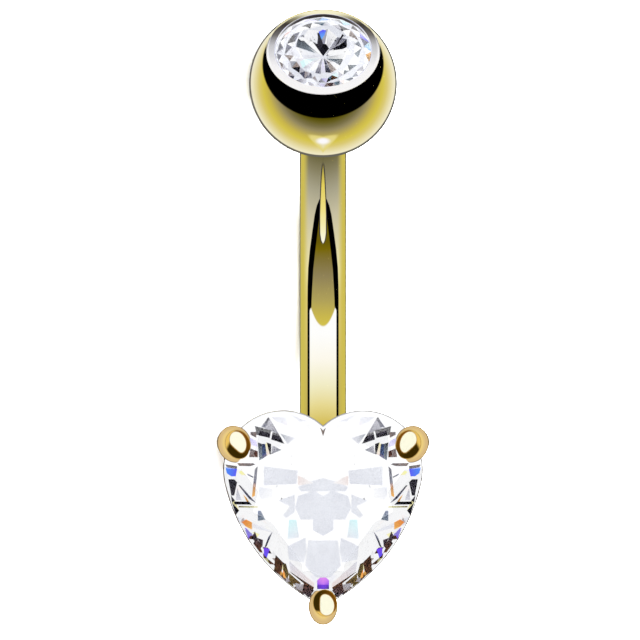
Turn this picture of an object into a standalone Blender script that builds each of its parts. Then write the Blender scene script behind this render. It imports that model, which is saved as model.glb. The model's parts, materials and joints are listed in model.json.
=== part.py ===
import math

import bmesh
import bpy
from mathutils import Matrix, Vector
from mathutils.geometry import interpolate_bezier

# Curved barbell for a navel piercing, in metres, +Z up.
# It is built upright: the centre of the bend is the origin, X is across, -Y is the side that shows, Z is up.
# Last, it is laid on its side, as it comes to rest on a table.
MM = 0.001

# Bar
BAR_DIAMETER = 1.6 * MM
BEND_RADIUS = 9.0 * MM
BEND_TO_BALL = math.radians(50)
BEND_TO_HEART = math.radians(32)
SOLDER_OVERLAP = 0.35 * MM

# Thread, cut on a stub thinner than the bar
THREAD_CREST_DIAMETER = 1.5 * MM
THREAD_DEPTH = 0.13 * MM
THREAD_PITCH = 0.35 * MM
THREAD_CREST_FLAT = 0.06 * MM
THREAD_ROOT_FLAT = 0.09 * MM
THREAD_RUNOUT = 0.15 * MM
THREAD_CHAMFER = 0.12 * MM

# Ball
BALL_DIAMETER = 5.0 * MM
BEZEL_WALL = 0.2 * MM
BEZEL_LIP = 0.075 * MM
BEZEL_LIP_THICKNESS = 0.08 * MM
SEAT_WALL = 0.4 * MM        # between the seat's point and the bore's end
FOOT_MARGIN = 0.02 * MM     # of the ball's flat foot round the bar

# Round stone
ROUND_DIAMETER = 3.32 * MM
ROUND_TABLE_DIAMETER = 1.86 * MM
ROUND_CROWN_HEIGHT = 0.5 * MM
ROUND_GIRDLE = 0.1 * MM
ROUND_PAVILION_DEPTH = 1.4 * MM

# Heart stone: each half outline is a lobe arc that runs on into a larger flank arc
HEART_WIDTH = 6.7 * MM
LOBE_RADIUS = 1.99 * MM
FLANK_RADIUS = 6.08 * MM
FLANK_TURN = math.radians(12.5)
HEART_CROWN_HEIGHT = 1.0 * MM
HEART_GIRDLE = 0.18 * MM
HEART_PAVILION_DEPTH = 2.8 * MM
CULET_RISE = 0.25 * MM

# Heart setting
UPPER_RAIL_DIAMETER = 0.56 * MM
UPPER_RAIL_INSET = 0.22 * MM
BASE_RAIL_DIAMETER = 0.6 * MM
BASE_RAIL_SHARE = 0.42
BASE_RAIL_DROP = 3.5 * MM
CLAW_FOOT_DIAMETER = 0.8 * MM
CLAW_TIP_DIAMETER = 0.85 * MM
SIDE_CLAW_DIAMETER = 1.16 * MM
TIP_CLAW_DIAMETER = 0.98 * MM
SIDE_CLAW_ANGLE = math.radians(29)
CLAW_REACH = 0.24 * MM
CLAW_TIP_HEIGHT = 0.46 * MM
CLAW_BOW_UP = 0.32          # handles of a claw's curve, as shares of its height under the girdle
CLAW_BOW_OUT = 0.2

# Densities in kg/m3: plated steel and cubic zirconia. They settle which side the object lies on
METAL_DENSITY = 7900
STONE_DENSITY = 5800

# Clearances
STONE_GAP = 0.04 * MM
THREAD_GAP = 0.04 * MM
SHOULDER_GAP = 0.05 * MM

# Points closer than this are one point
MERGE = 0.002 * MM

# Smoothness of the solids
BALL_STEPS = 56
BALL_ARC_STEPS = 20
THREAD_STEPS = 20
THREAD_CORE_TURN = math.radians(3)
BAR_SEGMENTS = 40
LOBE_SEGMENTS = 14
FLANK_SEGMENTS = 7
UPPER_RAIL_SEGMENTS = (12, 6)
BASE_RAIL_SEGMENTS = (6, 4)
CLAW_POINTS = (9, 5)
CLAW_ROUNDING = (22, 44, 64, 80)
ROUND_STONE_SIDES = 64
WIRE_RESOLUTION = 4
BAR_RESOLUTION = 8
SMOOTH_ANGLE = math.radians(35)

# Round brilliant: how far the star facets reach from the table to the girdle, how close the lower
# halves come to the culet, and the turn between a main facet and the next star
STAR_SHARE = 0.5
LOWER_HALF_SHARE = 0.24
BRILLIANT_FOLD = 8
STAR_TURN = math.pi / BRILLIANT_FOLD

# Facets of one half of the heart stone. Azimuth is counted from the right, and inset is how far inside the
# outline the facet's plane stands, on the crown at the table's height and on the pavilion at the girdle
HEART_STARS = (
    # azimuth in degrees, slope in degrees, inset as a share of the crown's height
    (0.0, 34.0, 1.16),
    (-24.0, 35.0, 1.02),
    (-48.0, 37.0, 0.84),
    (60.0, 34.0, 1.2),
    (112.0, 36.0, 1.15),
)
HEART_HALVES = (
    # azimuth in degrees, slope in degrees, inset as a share of the crown's height
    (-66.0, 47.0, 0.93),
    (-36.0, 45.0, 1.0),
    (-12.0, 44.0, 1.03),
    (15.0, 44.0, 1.03),
    (44.0, 44.0, 1.03),
    (76.0, 44.0, 1.03),
    (98.0, 45.0, 1.0),
    (126.0, 47.0, 0.93),
)
HEART_MAINS = (-58.0, -30.0, -5.0, 25.0, 58.0, 92.0, 122.0)
LOWER_HALF_TURN = 12.0
LOWER_HALF_STEEPER = math.radians(3.5)


def clear_scene():
    for obj in list(bpy.data.objects):
        bpy.data.objects.remove(obj, do_unlink=True)


def new_collection(name):
    made = bpy.data.collections.new(name)
    bpy.context.scene.collection.children.link(made)
    return made


def new_material(name, colour, roughness, metallic, transmission, ior):
    made = bpy.data.materials.new(name)
    made.use_nodes = True
    shader = made.node_tree.nodes["Principled BSDF"]
    shader.inputs["Base Color"].default_value = (*colour, 1.0)
    shader.inputs["Roughness"].default_value = roughness
    shader.inputs["Metallic"].default_value = metallic
    shader.inputs["Transmission Weight"].default_value = transmission
    shader.inputs["IOR"].default_value = ior
    made.diffuse_color = (*colour, 1.0)
    return made


def new_object(name, mesh, where, place=None):
    obj = bpy.data.objects.new(name, mesh)
    where.objects.link(obj)
    if place is not None:
        obj.matrix_world = place
    return obj


def mesh_of(bm, name):
    bmesh.ops.recalc_face_normals(bm, faces=bm.faces)
    mesh = bpy.data.meshes.new(name)
    bm.to_mesh(mesh)
    bm.free()
    return mesh


def evaluated_mesh(obj):
    graph = bpy.context.evaluated_depsgraph_get()
    return bpy.data.meshes.new_from_object(obj.evaluated_get(graph))


# A turned shape: the profile runs down the outer side, as (radius, height) points
def lathe(name, profile, steps, where, place):
    mesh = bpy.data.meshes.new(name)
    edges = [(i, i + 1) for i in range(len(profile) - 1)]
    mesh.from_pydata([(radius, 0.0, height) for radius, height in profile], edges, [])
    obj = new_object(name, mesh, where, place)
    screw = obj.modifiers.new("turn", "SCREW")
    screw.steps = steps
    screw.render_steps = steps
    screw.use_merge_vertices = True
    screw.merge_threshold = 0.001 * MM
    screw.use_smooth_shade = True
    return obj


# A wire with a radius at each point, as one closed mesh
def wire(name, points, radii, closed, resolution, where, place):
    curve = bpy.data.curves.new(name, "CURVE")
    curve.dimensions = "3D"
    curve.bevel_depth = max(radii)
    curve.bevel_resolution = resolution
    curve.use_fill_caps = not closed
    spline = curve.splines.new("POLY")
    spline.points.add(len(points) - 1)
    spline.use_cyclic_u = closed
    for spot, point, radius in zip(spline.points, points, radii):
        spot.co = (*point, 1.0)
        spot.radius = radius / max(radii)
    drawn = new_object(name + "_path", curve, where, place)
    bpy.context.view_layer.update()
    mesh = evaluated_mesh(drawn)
    bpy.data.objects.remove(drawn)
    bm = bmesh.new()
    bm.from_mesh(mesh)
    bmesh.ops.remove_doubles(bm, verts=bm.verts, dist=0.0005 * MM)
    bmesh.ops.recalc_face_normals(bm, faces=bm.faces)
    bm.to_mesh(mesh)
    bm.free()
    return new_object(name, mesh, where, place)


# Bend of the bar, and the two directions at each of its points
def bend_point(angle):
    return BEND_RADIUS * Vector((0.0, math.cos(angle), math.sin(angle)))


# Places, in the upright frame
THREAD_PLACE = Matrix.Translation(bend_point(BEND_TO_BALL)) @ Matrix.Rotation(BEND_TO_BALL, 4, "X")
BAR_RADIUS = BAR_DIAMETER / 2
BALL_RADIUS = BALL_DIAMETER / 2
FOOT_RADIUS = BAR_RADIUS + FOOT_MARGIN
FOOT_DROP = math.sqrt(BALL_RADIUS**2 - FOOT_RADIUS**2)
BALL_PLACE = THREAD_PLACE @ Matrix.Translation((0.0, 0.0, SHOULDER_GAP + FOOT_DROP))

# Bezel and seat in the ball, as heights over its centre
ROUND_RADIUS = ROUND_DIAMETER / 2
BEZEL_RADIUS = ROUND_RADIUS + STONE_GAP + BEZEL_WALL
BEZEL_TOP = math.sqrt(BALL_RADIUS**2 - BEZEL_RADIUS**2)
LIP_RADIUS = ROUND_RADIUS + STONE_GAP - BEZEL_LIP
GIRDLE_TOP = BEZEL_TOP - BEZEL_LIP_THICKNESS - STONE_GAP
GIRDLE_BOTTOM = GIRDLE_TOP - ROUND_GIRDLE
SEAT_BOTTOM = GIRDLE_BOTTOM - ROUND_PAVILION_DEPTH - 2 * STONE_GAP
BORE_BOTTOM = SEAT_BOTTOM - SEAT_WALL
BORE_RADIUS = THREAD_CREST_DIAMETER / 2 + THREAD_GAP
STUB_LENGTH = FOOT_DROP + BORE_BOTTOM

# Heart, in its own frame: X across, Y up along the heart, Z out through the table
LOBE_X = HEART_WIDTH / 2 - LOBE_RADIUS
FLANK_X = LOBE_X - (FLANK_RADIUS - LOBE_RADIUS) * math.cos(FLANK_TURN)
FLANK_OVER_LOBE = (FLANK_RADIUS - LOBE_RADIUS) * math.sin(FLANK_TURN)
TIP_UNDER_LOBE = math.sqrt(FLANK_RADIUS**2 - FLANK_X**2) - FLANK_OVER_LOBE
LOBE_Y = (LOBE_RADIUS + TIP_UNDER_LOBE) / 2 - LOBE_RADIUS
FLANK_Y = LOBE_Y + FLANK_OVER_LOBE


# Right half of the outline, from the cleft round the lobe and down to the tip
def half_outline(grow, lobe_segments=LOBE_SEGMENTS, flank_segments=FLANK_SEGMENTS):
    lobe = LOBE_RADIUS + grow
    flank = FLANK_RADIUS + grow
    cleft = math.acos(-LOBE_X / lobe)
    tip = -math.acos(-FLANK_X / flank)
    points = []
    for i in range(lobe_segments):
        turn = cleft + (-FLANK_TURN - cleft) * i / lobe_segments
        points.append(Vector((LOBE_X + lobe * math.cos(turn), LOBE_Y + lobe * math.sin(turn), 0.0)))
    for i in range(flank_segments + 1):
        turn = -FLANK_TURN + (tip + FLANK_TURN) * i / flank_segments
        points.append(Vector((FLANK_X + flank * math.cos(turn), FLANK_Y + flank * math.sin(turn), 0.0)))
    points[0].x = 0.0
    points[-1].x = 0.0
    return points


def whole_outline(grow, share, height, lobe_segments, flank_segments):
    half = half_outline(grow, lobe_segments, flank_segments)
    left = [Vector((-p.x, p.y, 0.0)) for p in reversed(half[1:-1])]
    return [share * p + Vector((0.0, 0.0, height)) for p in half + left]


def reach_along(outline, azimuth):
    direction = Vector((math.cos(azimuth), math.sin(azimuth), 0.0))
    return max(point.dot(direction) for point in outline)


# Cuts away what lies outside a plane that leans by slope, on the crown (side 1) or the pavilion (side -1)
def cut_facet(bm, side, azimuth, slope, distance, height, grow):
    out = Vector((math.cos(azimuth), math.sin(azimuth), 0.0))
    normal = out * math.sin(slope) + Vector((0.0, 0.0, side * math.cos(slope)))
    point = out * distance + Vector((0.0, 0.0, height)) + normal * grow
    cut = bmesh.ops.bisect_plane(
        bm,
        geom=bm.verts[:] + bm.edges[:] + bm.faces[:],
        dist=0.0002 * MM,
        plane_co=point,
        plane_no=normal,
        clear_outer=True,
    )
    edges = [e for e in cut["geom_cut"] if isinstance(e, bmesh.types.BMEdge) and e.is_boundary]
    if edges:
        bmesh.ops.contextual_create(bm, geom=edges)


def prism(outline, bottom, top):
    bm = bmesh.new()
    face = bm.faces.new([bm.verts.new((p.x, p.y, bottom)) for p in outline])
    risen = bmesh.ops.extrude_face_region(bm, geom=[face])["geom"]
    lift = [v for v in risen if isinstance(v, bmesh.types.BMVert)]
    bmesh.ops.translate(bm, verts=lift, vec=(0.0, 0.0, top - bottom))
    bmesh.ops.recalc_face_normals(bm, faces=bm.faces)
    return bm


# Facet planes of the round brilliant, each as side, count, turn, slope, and its distance at a height.
# Stars, mains and halves meet where the real cut's do, so all slopes follow from the stone's sizes
def brilliant_planes():
    table_edge = ROUND_TABLE_DIAMETER / 2 * math.cos(STAR_TURN)
    main = ROUND_CROWN_HEIGHT / (ROUND_RADIUS - ROUND_TABLE_DIAMETER / 2)
    star_end = table_edge + STAR_SHARE * (ROUND_RADIUS - table_edge)
    star_end_height = (ROUND_RADIUS - star_end * math.cos(STAR_TURN)) * main
    star = (ROUND_CROWN_HEIGHT - star_end_height) / (star_end - table_edge)
    half_edge = ROUND_RADIUS * math.cos(STAR_TURN / 2)
    half = star_end_height / (half_edge - star_end * math.cos(STAR_TURN / 2))
    pavilion = ROUND_PAVILION_DEPTH / ROUND_RADIUS
    lower_end = LOWER_HALF_SHARE * ROUND_RADIUS
    lower_end_depth = (ROUND_RADIUS - lower_end * math.cos(STAR_TURN)) * pavilion
    lower = lower_end_depth / (half_edge - lower_end * math.cos(STAR_TURN / 2))
    return (
        (1, BRILLIANT_FOLD, 0.0, math.atan(main), ROUND_RADIUS, 0.0),
        (1, BRILLIANT_FOLD, STAR_TURN, math.atan(star), table_edge, ROUND_CROWN_HEIGHT),
        (1, 2 * BRILLIANT_FOLD, STAR_TURN / 2, math.atan(half), half_edge, 0.0),
        (-1, BRILLIANT_FOLD, 0.0, math.atan(pavilion), ROUND_RADIUS, -ROUND_GIRDLE),
        (-1, 2 * BRILLIANT_FOLD, STAR_TURN / 2, math.atan(lower), half_edge, -ROUND_GIRDLE),
    )


# The girdle's top edge is at height 0
def round_stone_mesh():
    bm = bmesh.new()
    bmesh.ops.create_cone(
        bm,
        cap_ends=True,
        segments=ROUND_STONE_SIDES,
        radius1=ROUND_RADIUS,
        radius2=ROUND_RADIUS,
        depth=ROUND_CROWN_HEIGHT + ROUND_GIRDLE + ROUND_PAVILION_DEPTH,
    )
    middle = (ROUND_CROWN_HEIGHT - ROUND_GIRDLE - ROUND_PAVILION_DEPTH) / 2
    bmesh.ops.translate(bm, verts=bm.verts, vec=(0.0, 0.0, middle))
    for side, count, turn, slope, distance, height in brilliant_planes():
        for i in range(count):
            azimuth = turn + i * math.tau / count
            cut_facet(bm, side, azimuth, slope, distance, height, 0.0)
    bmesh.ops.remove_doubles(bm, verts=bm.verts, dist=MERGE)
    return mesh_of(bm, "round_stone")


# Heart cut, or with grow the room that the setting keeps for it. The girdle's middle is at height 0
def heart_mesh(name, grow):
    outline = half_outline(0.0, 4 * LOBE_SEGMENTS, 4 * FLANK_SEGMENTS)
    top = HEART_GIRDLE / 2 + HEART_CROWN_HEIGHT + grow
    bottom = -HEART_GIRDLE / 2 - HEART_PAVILION_DEPTH - grow
    bm = prism(half_outline(grow), bottom, top)
    for azimuth, slope, inset in HEART_STARS + HEART_HALVES:
        turn = math.radians(azimuth)
        distance = reach_along(outline, turn) - inset * HEART_CROWN_HEIGHT
        level = HEART_GIRDLE / 2 + HEART_CROWN_HEIGHT
        cut_facet(bm, 1, turn, math.radians(slope), distance, level, grow)
    for azimuth in HEART_MAINS:
        for twist in (0, -1, 1):
            turn = math.radians(azimuth + twist * LOWER_HALF_TURN)
            reach = reach_along(outline, turn)
            slope = math.atan(HEART_PAVILION_DEPTH / (reach - CULET_RISE * math.sin(turn)))
            steeper = abs(twist) * LOWER_HALF_STEEPER
            cut_facet(bm, -1, turn, slope + steeper, reach, -HEART_GIRDLE / 2, grow)
    seam = [f for f in bm.faces if abs(f.normal.x + 1) < 1e-3 and all(abs(v.co.x) < 1e-8 for v in f.verts)]
    bmesh.ops.delete(bm, geom=seam, context="FACES_ONLY")
    bmesh.ops.mirror(bm, geom=bm.verts[:] + bm.edges[:] + bm.faces[:], axis="X", merge_dist=MERGE)
    bmesh.ops.remove_doubles(bm, verts=bm.verts, dist=MERGE)
    return mesh_of(bm, name)


def threaded_ball(where):
    seat_radius = ROUND_RADIUS + STONE_GAP
    profile = [
        (0.0, SEAT_BOTTOM),
        (seat_radius, GIRDLE_BOTTOM - STONE_GAP),
        (seat_radius, GIRDLE_TOP + STONE_GAP),
        (LIP_RADIUS, BEZEL_TOP - BEZEL_LIP_THICKNESS / 3),
        (LIP_RADIUS + BEZEL_LIP / 3, BEZEL_TOP),
    ]
    first = math.asin(BEZEL_RADIUS / BALL_RADIUS)
    last = math.pi - math.asin(FOOT_RADIUS / BALL_RADIUS)
    for i in range(BALL_ARC_STEPS + 1):
        turn = first + (last - first) * i / BALL_ARC_STEPS
        profile.append((BALL_RADIUS * math.sin(turn), BALL_RADIUS * math.cos(turn)))
    profile += [(BORE_RADIUS, -FOOT_DROP), (BORE_RADIUS, BORE_BOTTOM), (0.0, BORE_BOTTOM)]
    return lathe("threaded_ball", profile, BALL_STEPS, where, BALL_PLACE)


# Stub with a helical ridge, both standing on the bar's shoulder
def thread_pieces(where):
    crest = THREAD_CREST_DIAMETER / 2
    root = crest - THREAD_DEPTH
    sunk = root - THREAD_DEPTH / 2
    core = lathe(
        "thread_core",
        [
            (0.0, STUB_LENGTH),
            (root - THREAD_CHAMFER, STUB_LENGTH),
            (root, STUB_LENGTH - THREAD_CHAMFER),
            (root, -BAR_RADIUS / 2),
            (0.0, -BAR_RADIUS / 2),
        ],
        2 * THREAD_STEPS,
        where,
        THREAD_PLACE @ Matrix.Rotation(THREAD_CORE_TURN, 4, "Z"),
    )
    half_base = (THREAD_PITCH - THREAD_ROOT_FLAT) / 2
    height = THREAD_RUNOUT + THREAD_PITCH / 2
    loop = [
        (crest, height + THREAD_CREST_FLAT / 2),
        (crest, height - THREAD_CREST_FLAT / 2),
        (sunk, height - half_base),
        (sunk, height + half_base),
    ]
    mesh = bpy.data.meshes.new("thread_ridge")
    edges = [(i, (i + 1) % len(loop)) for i in range(len(loop))]
    mesh.from_pydata([(radius, 0.0, level) for radius, level in loop], edges, [])
    ridge = new_object("thread_ridge", mesh, where, THREAD_PLACE)
    screw = ridge.modifiers.new("helix", "SCREW")
    screw.iterations = int((STUB_LENGTH - THREAD_CHAMFER - 2 * THREAD_RUNOUT) / THREAD_PITCH)
    screw.screw_offset = THREAD_PITCH
    screw.steps = THREAD_STEPS
    screw.render_steps = THREAD_STEPS
    bpy.context.view_layer.update()
    bm = bmesh.new()
    bm.from_mesh(evaluated_mesh(ridge))
    bpy.data.objects.remove(ridge)
    bmesh.ops.holes_fill(bm, edges=bm.edges)
    return [core, new_object("thread_ridge", mesh_of(bm, "thread_ridge"), where, THREAD_PLACE)]


# Path of a claw: from its foot on the base rail, past the girdle, and over the stone to a round tip
def claw(name, foot, girdle, inward, middle_radius, where, place):
    tip_radius = CLAW_TIP_DIAMETER / 2
    foot_radius = CLAW_FOOT_DIAMETER / 2
    up = Vector((0.0, 0.0, 1.0))
    lean = (up * CLAW_TIP_HEIGHT + inward * CLAW_REACH).normalized()
    tip = girdle + up * CLAW_TIP_HEIGHT + inward * CLAW_REACH
    rise = girdle.z - foot.z
    bow = foot + up * rise * CLAW_BOW_UP - inward * rise * CLAW_BOW_OUT
    lower = interpolate_bezier(foot, bow, girdle - up * rise * CLAW_BOW_UP, girdle, CLAW_POINTS[0])
    above = girdle + up * CLAW_TIP_HEIGHT / 2
    upper = interpolate_bezier(girdle, above, tip - lean * CLAW_REACH, tip, CLAW_POINTS[1])
    points = [Vector(p) for p in lower]
    radii = [foot_radius + (middle_radius - foot_radius) * i / (len(lower) - 1) for i in range(len(lower))]
    for i, point in enumerate(upper[1:], 1):
        points.append(Vector(point))
        radii.append(middle_radius + (tip_radius - middle_radius) * i / (len(upper) - 1))
    for degrees in CLAW_ROUNDING:
        turn = math.radians(degrees)
        points.append(tip + lean * tip_radius * math.sin(turn))
        radii.append(tip_radius * math.cos(turn))
    return wire(name, points, radii, False, WIRE_RESOLUTION, where, place)


# Everything soldered to the bar, in the heart's own frame
def setting_pieces(where, place):
    upper_radius = UPPER_RAIL_DIAMETER / 2
    base_radius = BASE_RAIL_DIAMETER / 2
    slope = math.atan(HEART_PAVILION_DEPTH / (HEART_WIDTH / 2))
    off_pavilion = upper_radius + STONE_GAP + UPPER_RAIL_INSET * math.sin(slope)
    drop = HEART_GIRDLE / 2 + off_pavilion / math.cos(slope)
    upper = whole_outline(-UPPER_RAIL_INSET, 1.0, -drop, *UPPER_RAIL_SEGMENTS)
    base = whole_outline(0.0, BASE_RAIL_SHARE, -BASE_RAIL_DROP, *BASE_RAIL_SEGMENTS)
    pieces = [
        wire("upper_rail", upper, [upper_radius] * len(upper), True, WIRE_RESOLUTION - 1, where, place),
        wire("base_rail", base, [base_radius] * len(base), True, WIRE_RESOLUTION - 1, where, place),
    ]
    for side in (-1, 1):
        out = Vector((side * math.cos(SIDE_CLAW_ANGLE), math.sin(SIDE_CLAW_ANGLE), 0.0))
        lobe = Vector((side * LOBE_X, LOBE_Y, 0.0))
        edge = lobe + out * LOBE_RADIUS
        foot = BASE_RAIL_SHARE * edge + Vector((0.0, 0.0, -BASE_RAIL_DROP))
        name = "left_claw" if side < 0 else "right_claw"
        pieces.append(claw(name, foot, edge, -out, SIDE_CLAW_DIAMETER / 2, where, place))
    edge = half_outline(0.0)[-1] + Vector((0.0, -TIP_CLAW_DIAMETER / 8, 0.0))
    foot = BASE_RAIL_SHARE * edge + Vector((0.0, 0.0, -BASE_RAIL_DROP))
    pieces.append(claw("tip_claw", foot, edge, Vector((0.0, 1.0, 0.0)), TIP_CLAW_DIAMETER / 2, where, place))
    return pieces


def curved_bar(where, cutters, place):
    last = -BEND_TO_HEART - SOLDER_OVERLAP / BEND_RADIUS
    angles = [BEND_TO_BALL + (last - BEND_TO_BALL) * i / BAR_SEGMENTS for i in range(BAR_SEGMENTS + 1)]
    points = [bend_point(angle) for angle in angles]
    bar = wire("curved_bar", points, [BAR_RADIUS] * len(points), False, BAR_RESOLUTION, where, Matrix())
    added = thread_pieces(cutters) + setting_pieces(cutters, place)
    for piece in added:
        join = bar.modifiers.new("join_" + piece.name, "BOOLEAN")
        join.operation = "UNION"
        join.object = piece
    room = new_object("stone_room", heart_mesh("stone_room", STONE_GAP), cutters, place)
    cut = bar.modifiers.new("cut_stone_room", "BOOLEAN")
    cut.operation = "DIFFERENCE"
    cut.object = room
    for helper in added + [room]:
        helper.hide_render = True
        helper.display_type = "WIRE"
    return bar


# Volume and centre of a closed mesh, as it stands in the world
def volume_and_centre(obj):
    mesh = evaluated_mesh(obj)
    mesh.calc_loop_triangles()
    points = [obj.matrix_world @ v.co for v in mesh.vertices]
    volume = 0.0
    moment = Vector((0.0, 0.0, 0.0))
    for triangle in mesh.loop_triangles:
        a, b, c = (points[i] for i in triangle.vertices)
        part = a.dot(b.cross(c)) / 6
        volume += part
        moment += part * (a + b + c) / 4
    return volume, moment / volume, points


# Turn that lays the object on the side of its hull that carries its weight, nearest to its left side
def resting_place(points, centre):
    bm = bmesh.new()
    for point in points:
        bm.verts.new(point)
    bmesh.ops.convex_hull(bm, input=bm.verts)
    best = None
    for face in bm.faces:
        normal = face.normal
        corners = [v.co for v in face.verts]
        foot = centre + normal * (corners[0] - centre).dot(normal)
        inside = all(
            (b - a).cross(foot - a).dot(normal) > 0
            for a, b in zip(corners, corners[1:] + corners[:1])
        )
        if inside and (best is None or normal.x < best.x):
            best = normal.copy()
    bm.free()
    laid = best.rotation_difference(Vector((0.0, 0.0, -1.0))).to_matrix()
    front = laid @ Vector((0.0, -1.0, 0.0))
    spun = Matrix.Rotation(-math.pi / 2 - math.atan2(front.y, front.x), 3, "Z") @ laid
    turned = [spun @ point for point in points]
    low = [min(p[axis] for p in turned) for axis in range(3)]
    high = [max(p[axis] for p in turned) for axis in range(3)]
    middle = Vector(((low[0] + high[0]) / 2, (low[1] + high[1]) / 2, low[2]))
    return Matrix.Translation(-middle) @ spun.to_4x4()


def main():
    clear_scene()
    parts = new_collection("curved_barbell")
    cutters = new_collection("cutters")
    gold = new_material("gold_plate", (0.83, 0.62, 0.24), 0.12, 1.0, 0.0, 1.45)
    clear = new_material("clear_stone", (0.97, 0.98, 1.0), 0.0, 0.0, 1.0, 2.16)
    upright = Matrix.Rotation(math.pi / 2, 4, "X")
    cleft = half_outline(0.0)[0]
    joint = Vector((0.0, BASE_RAIL_SHARE * cleft.y, -BASE_RAIL_DROP))
    heart_place = Matrix.Translation(bend_point(-BEND_TO_HEART)) @ upright @ Matrix.Translation(-joint)
    round_place = BALL_PLACE @ Matrix.Translation((0.0, 0.0, GIRDLE_TOP))

    ball = threaded_ball(parts)
    bar = curved_bar(parts, cutters, heart_place)
    heart = new_object("heart_stone", heart_mesh("heart_stone", 0.0), parts, heart_place)
    brilliant = new_object("round_stone", round_stone_mesh(), parts, round_place)
    bpy.context.view_layer.update()
    total = 0.0
    centre = Vector((0.0, 0.0, 0.0))
    points = []
    for obj in (bar, ball, heart, brilliant):
        metal = obj in (bar, ball)
        obj.data.materials.clear()
        obj.data.materials.append(gold if metal else clear)
        volume, middle, corners = volume_and_centre(obj)
        weight = volume * (METAL_DENSITY if metal else STONE_DENSITY)
        total += weight
        centre += weight * middle
        points += corners
    for obj in (bar, ball):
        obj.data.shade_smooth()
        obj.data.set_sharp_from_angle(angle=SMOOTH_ANGLE)

    rest = bpy.data.objects.new("rest_pose", None)
    parts.objects.link(rest)
    for obj in list(parts.objects) + list(cutters.objects):
        if obj != rest:
            obj.parent = rest
    rest.matrix_world = resting_place(points, centre / total)


main()
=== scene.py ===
import json
import math
import random
import bmesh
import bpy
from mathutils import Matrix, Vector
from mathutils.geometry import interpolate_bezier


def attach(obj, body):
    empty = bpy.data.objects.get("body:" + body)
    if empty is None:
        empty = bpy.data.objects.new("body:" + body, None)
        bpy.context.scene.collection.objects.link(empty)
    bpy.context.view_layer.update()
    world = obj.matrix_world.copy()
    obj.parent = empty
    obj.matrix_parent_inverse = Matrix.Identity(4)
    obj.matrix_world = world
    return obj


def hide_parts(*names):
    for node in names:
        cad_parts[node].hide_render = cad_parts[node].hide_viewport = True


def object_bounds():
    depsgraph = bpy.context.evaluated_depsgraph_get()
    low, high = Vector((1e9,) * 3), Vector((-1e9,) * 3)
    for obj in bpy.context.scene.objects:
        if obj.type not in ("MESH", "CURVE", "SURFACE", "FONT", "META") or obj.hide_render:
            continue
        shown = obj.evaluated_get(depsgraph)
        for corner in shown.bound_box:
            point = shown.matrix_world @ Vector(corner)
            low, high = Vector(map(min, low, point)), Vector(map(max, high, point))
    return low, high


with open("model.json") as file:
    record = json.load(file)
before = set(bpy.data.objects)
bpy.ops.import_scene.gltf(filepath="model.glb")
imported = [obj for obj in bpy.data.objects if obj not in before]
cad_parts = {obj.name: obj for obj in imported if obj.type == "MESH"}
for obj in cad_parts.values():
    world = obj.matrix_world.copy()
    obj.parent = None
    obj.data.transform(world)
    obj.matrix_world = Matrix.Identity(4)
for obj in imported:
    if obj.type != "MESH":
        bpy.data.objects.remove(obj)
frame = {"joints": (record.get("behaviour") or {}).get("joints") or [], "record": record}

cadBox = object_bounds()
mm = 0.001

# The object's own axes: across it, up it as it is worn, and out through the heart's table
record = frame["record"]
threadJoint = frame["joints"][0]
mounts = {mount["name"]: mount for mount in record["mounts"]}
outAxis = Vector(mounts["heart_table"]["axis"]).normalized()
threadAxis = Vector(threadJoint["axis"]).normalized()
acrossAxis = threadAxis.cross(outAxis).normalized()
upAxis = outAxis.cross(acrossAxis).normalized()
ballCentre = Vector(threadJoint["pos_m"])


def placeOf(origin, zAxis, xAxis=acrossAxis):
    yAxis = zAxis.cross(xAxis).normalized()
    turn = Matrix((yAxis.cross(zAxis), yAxis, zAxis)).transposed()
    return Matrix.Translation(origin) @ turn.to_4x4()


bar = {
    "diameter": 1.6 * mm,
    "bendRadius": 9.0 * mm,
    "turnToBall": math.radians(50),
    "turnToHeart": math.radians(32),
    "solderOverlap": 0.35 * mm,
    "chamfer": 0.03 * mm,
    "endTurn": math.radians(84),  # how far the rounding of the hidden end goes
    "endSteps": 8,
    "points": 160,
    "sides": 64,
}
ball = {
    "diameter": 5.0 * mm,
    "shoulderGap": 0.05 * mm,
    "footMargin": 0.02 * mm,
    "boreRadius": 0.79 * mm,
    "boreChamfer": 0.01 * mm,
    "seatFloor": 0.4 * mm,  # metal between the stone's seat and the end of the bore
    "arcInset": 0.006,  # a small turn left free at both ends of the arc
    "steps": 192,
    "arcSteps": 72,
}
bezel = {
    "wall": 0.2 * mm,
    "lip": 0.075 * mm,
    "lipThickness": 0.08 * mm,
    "slope": math.radians(13),
    "depth": 0.25 * mm,
    "rounding": 0.012 * mm,
    "shoulder": 0.11 * mm,
    "cornerSteps": 12,
    "seam": 0.004 * mm,
}
roundStone = {
    "diameter": 3.32 * mm,
    "table": 1.86 * mm,
    "crown": 0.5 * mm,
    "girdle": 0.1 * mm,
    "pavilion": 1.4 * mm,
    "gap": 0.04 * mm,
    "sides": 64,
    "fold": 8,
    "starShare": 0.5,
    "lowerShare": 0.24,
}
heartStone = {
    "tableMirror": 0.14,
    "width": 6.7 * mm,
    "lobeRadius": 1.99 * mm,
    "flankRadius": 6.08 * mm,
    "flankTurn": math.radians(12.5),
    "crown": 1.0 * mm,
    "girdle": 0.18 * mm,
    "pavilion": 2.8 * mm,
    "culetRise": 0.25 * mm,
    "gap": 0.04 * mm,
}

# places of the ball's and the heart's own frames, from the same sizes as the solids
ballRadius = ball["diameter"] / 2
footRadius = bar["diameter"] / 2 + ball["footMargin"]
footDrop = math.sqrt(ballRadius**2 - footRadius**2)
ballPlace = placeOf(ballCentre, threadAxis)
shoulder = ballCentre - threadAxis * (ball["shoulderGap"] + footDrop)
shoulderOut = upAxis * math.sin(bar["turnToBall"]) - outAxis * math.cos(bar["turnToBall"])
bendCentre = shoulder - shoulderOut * bar["bendRadius"]


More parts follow.
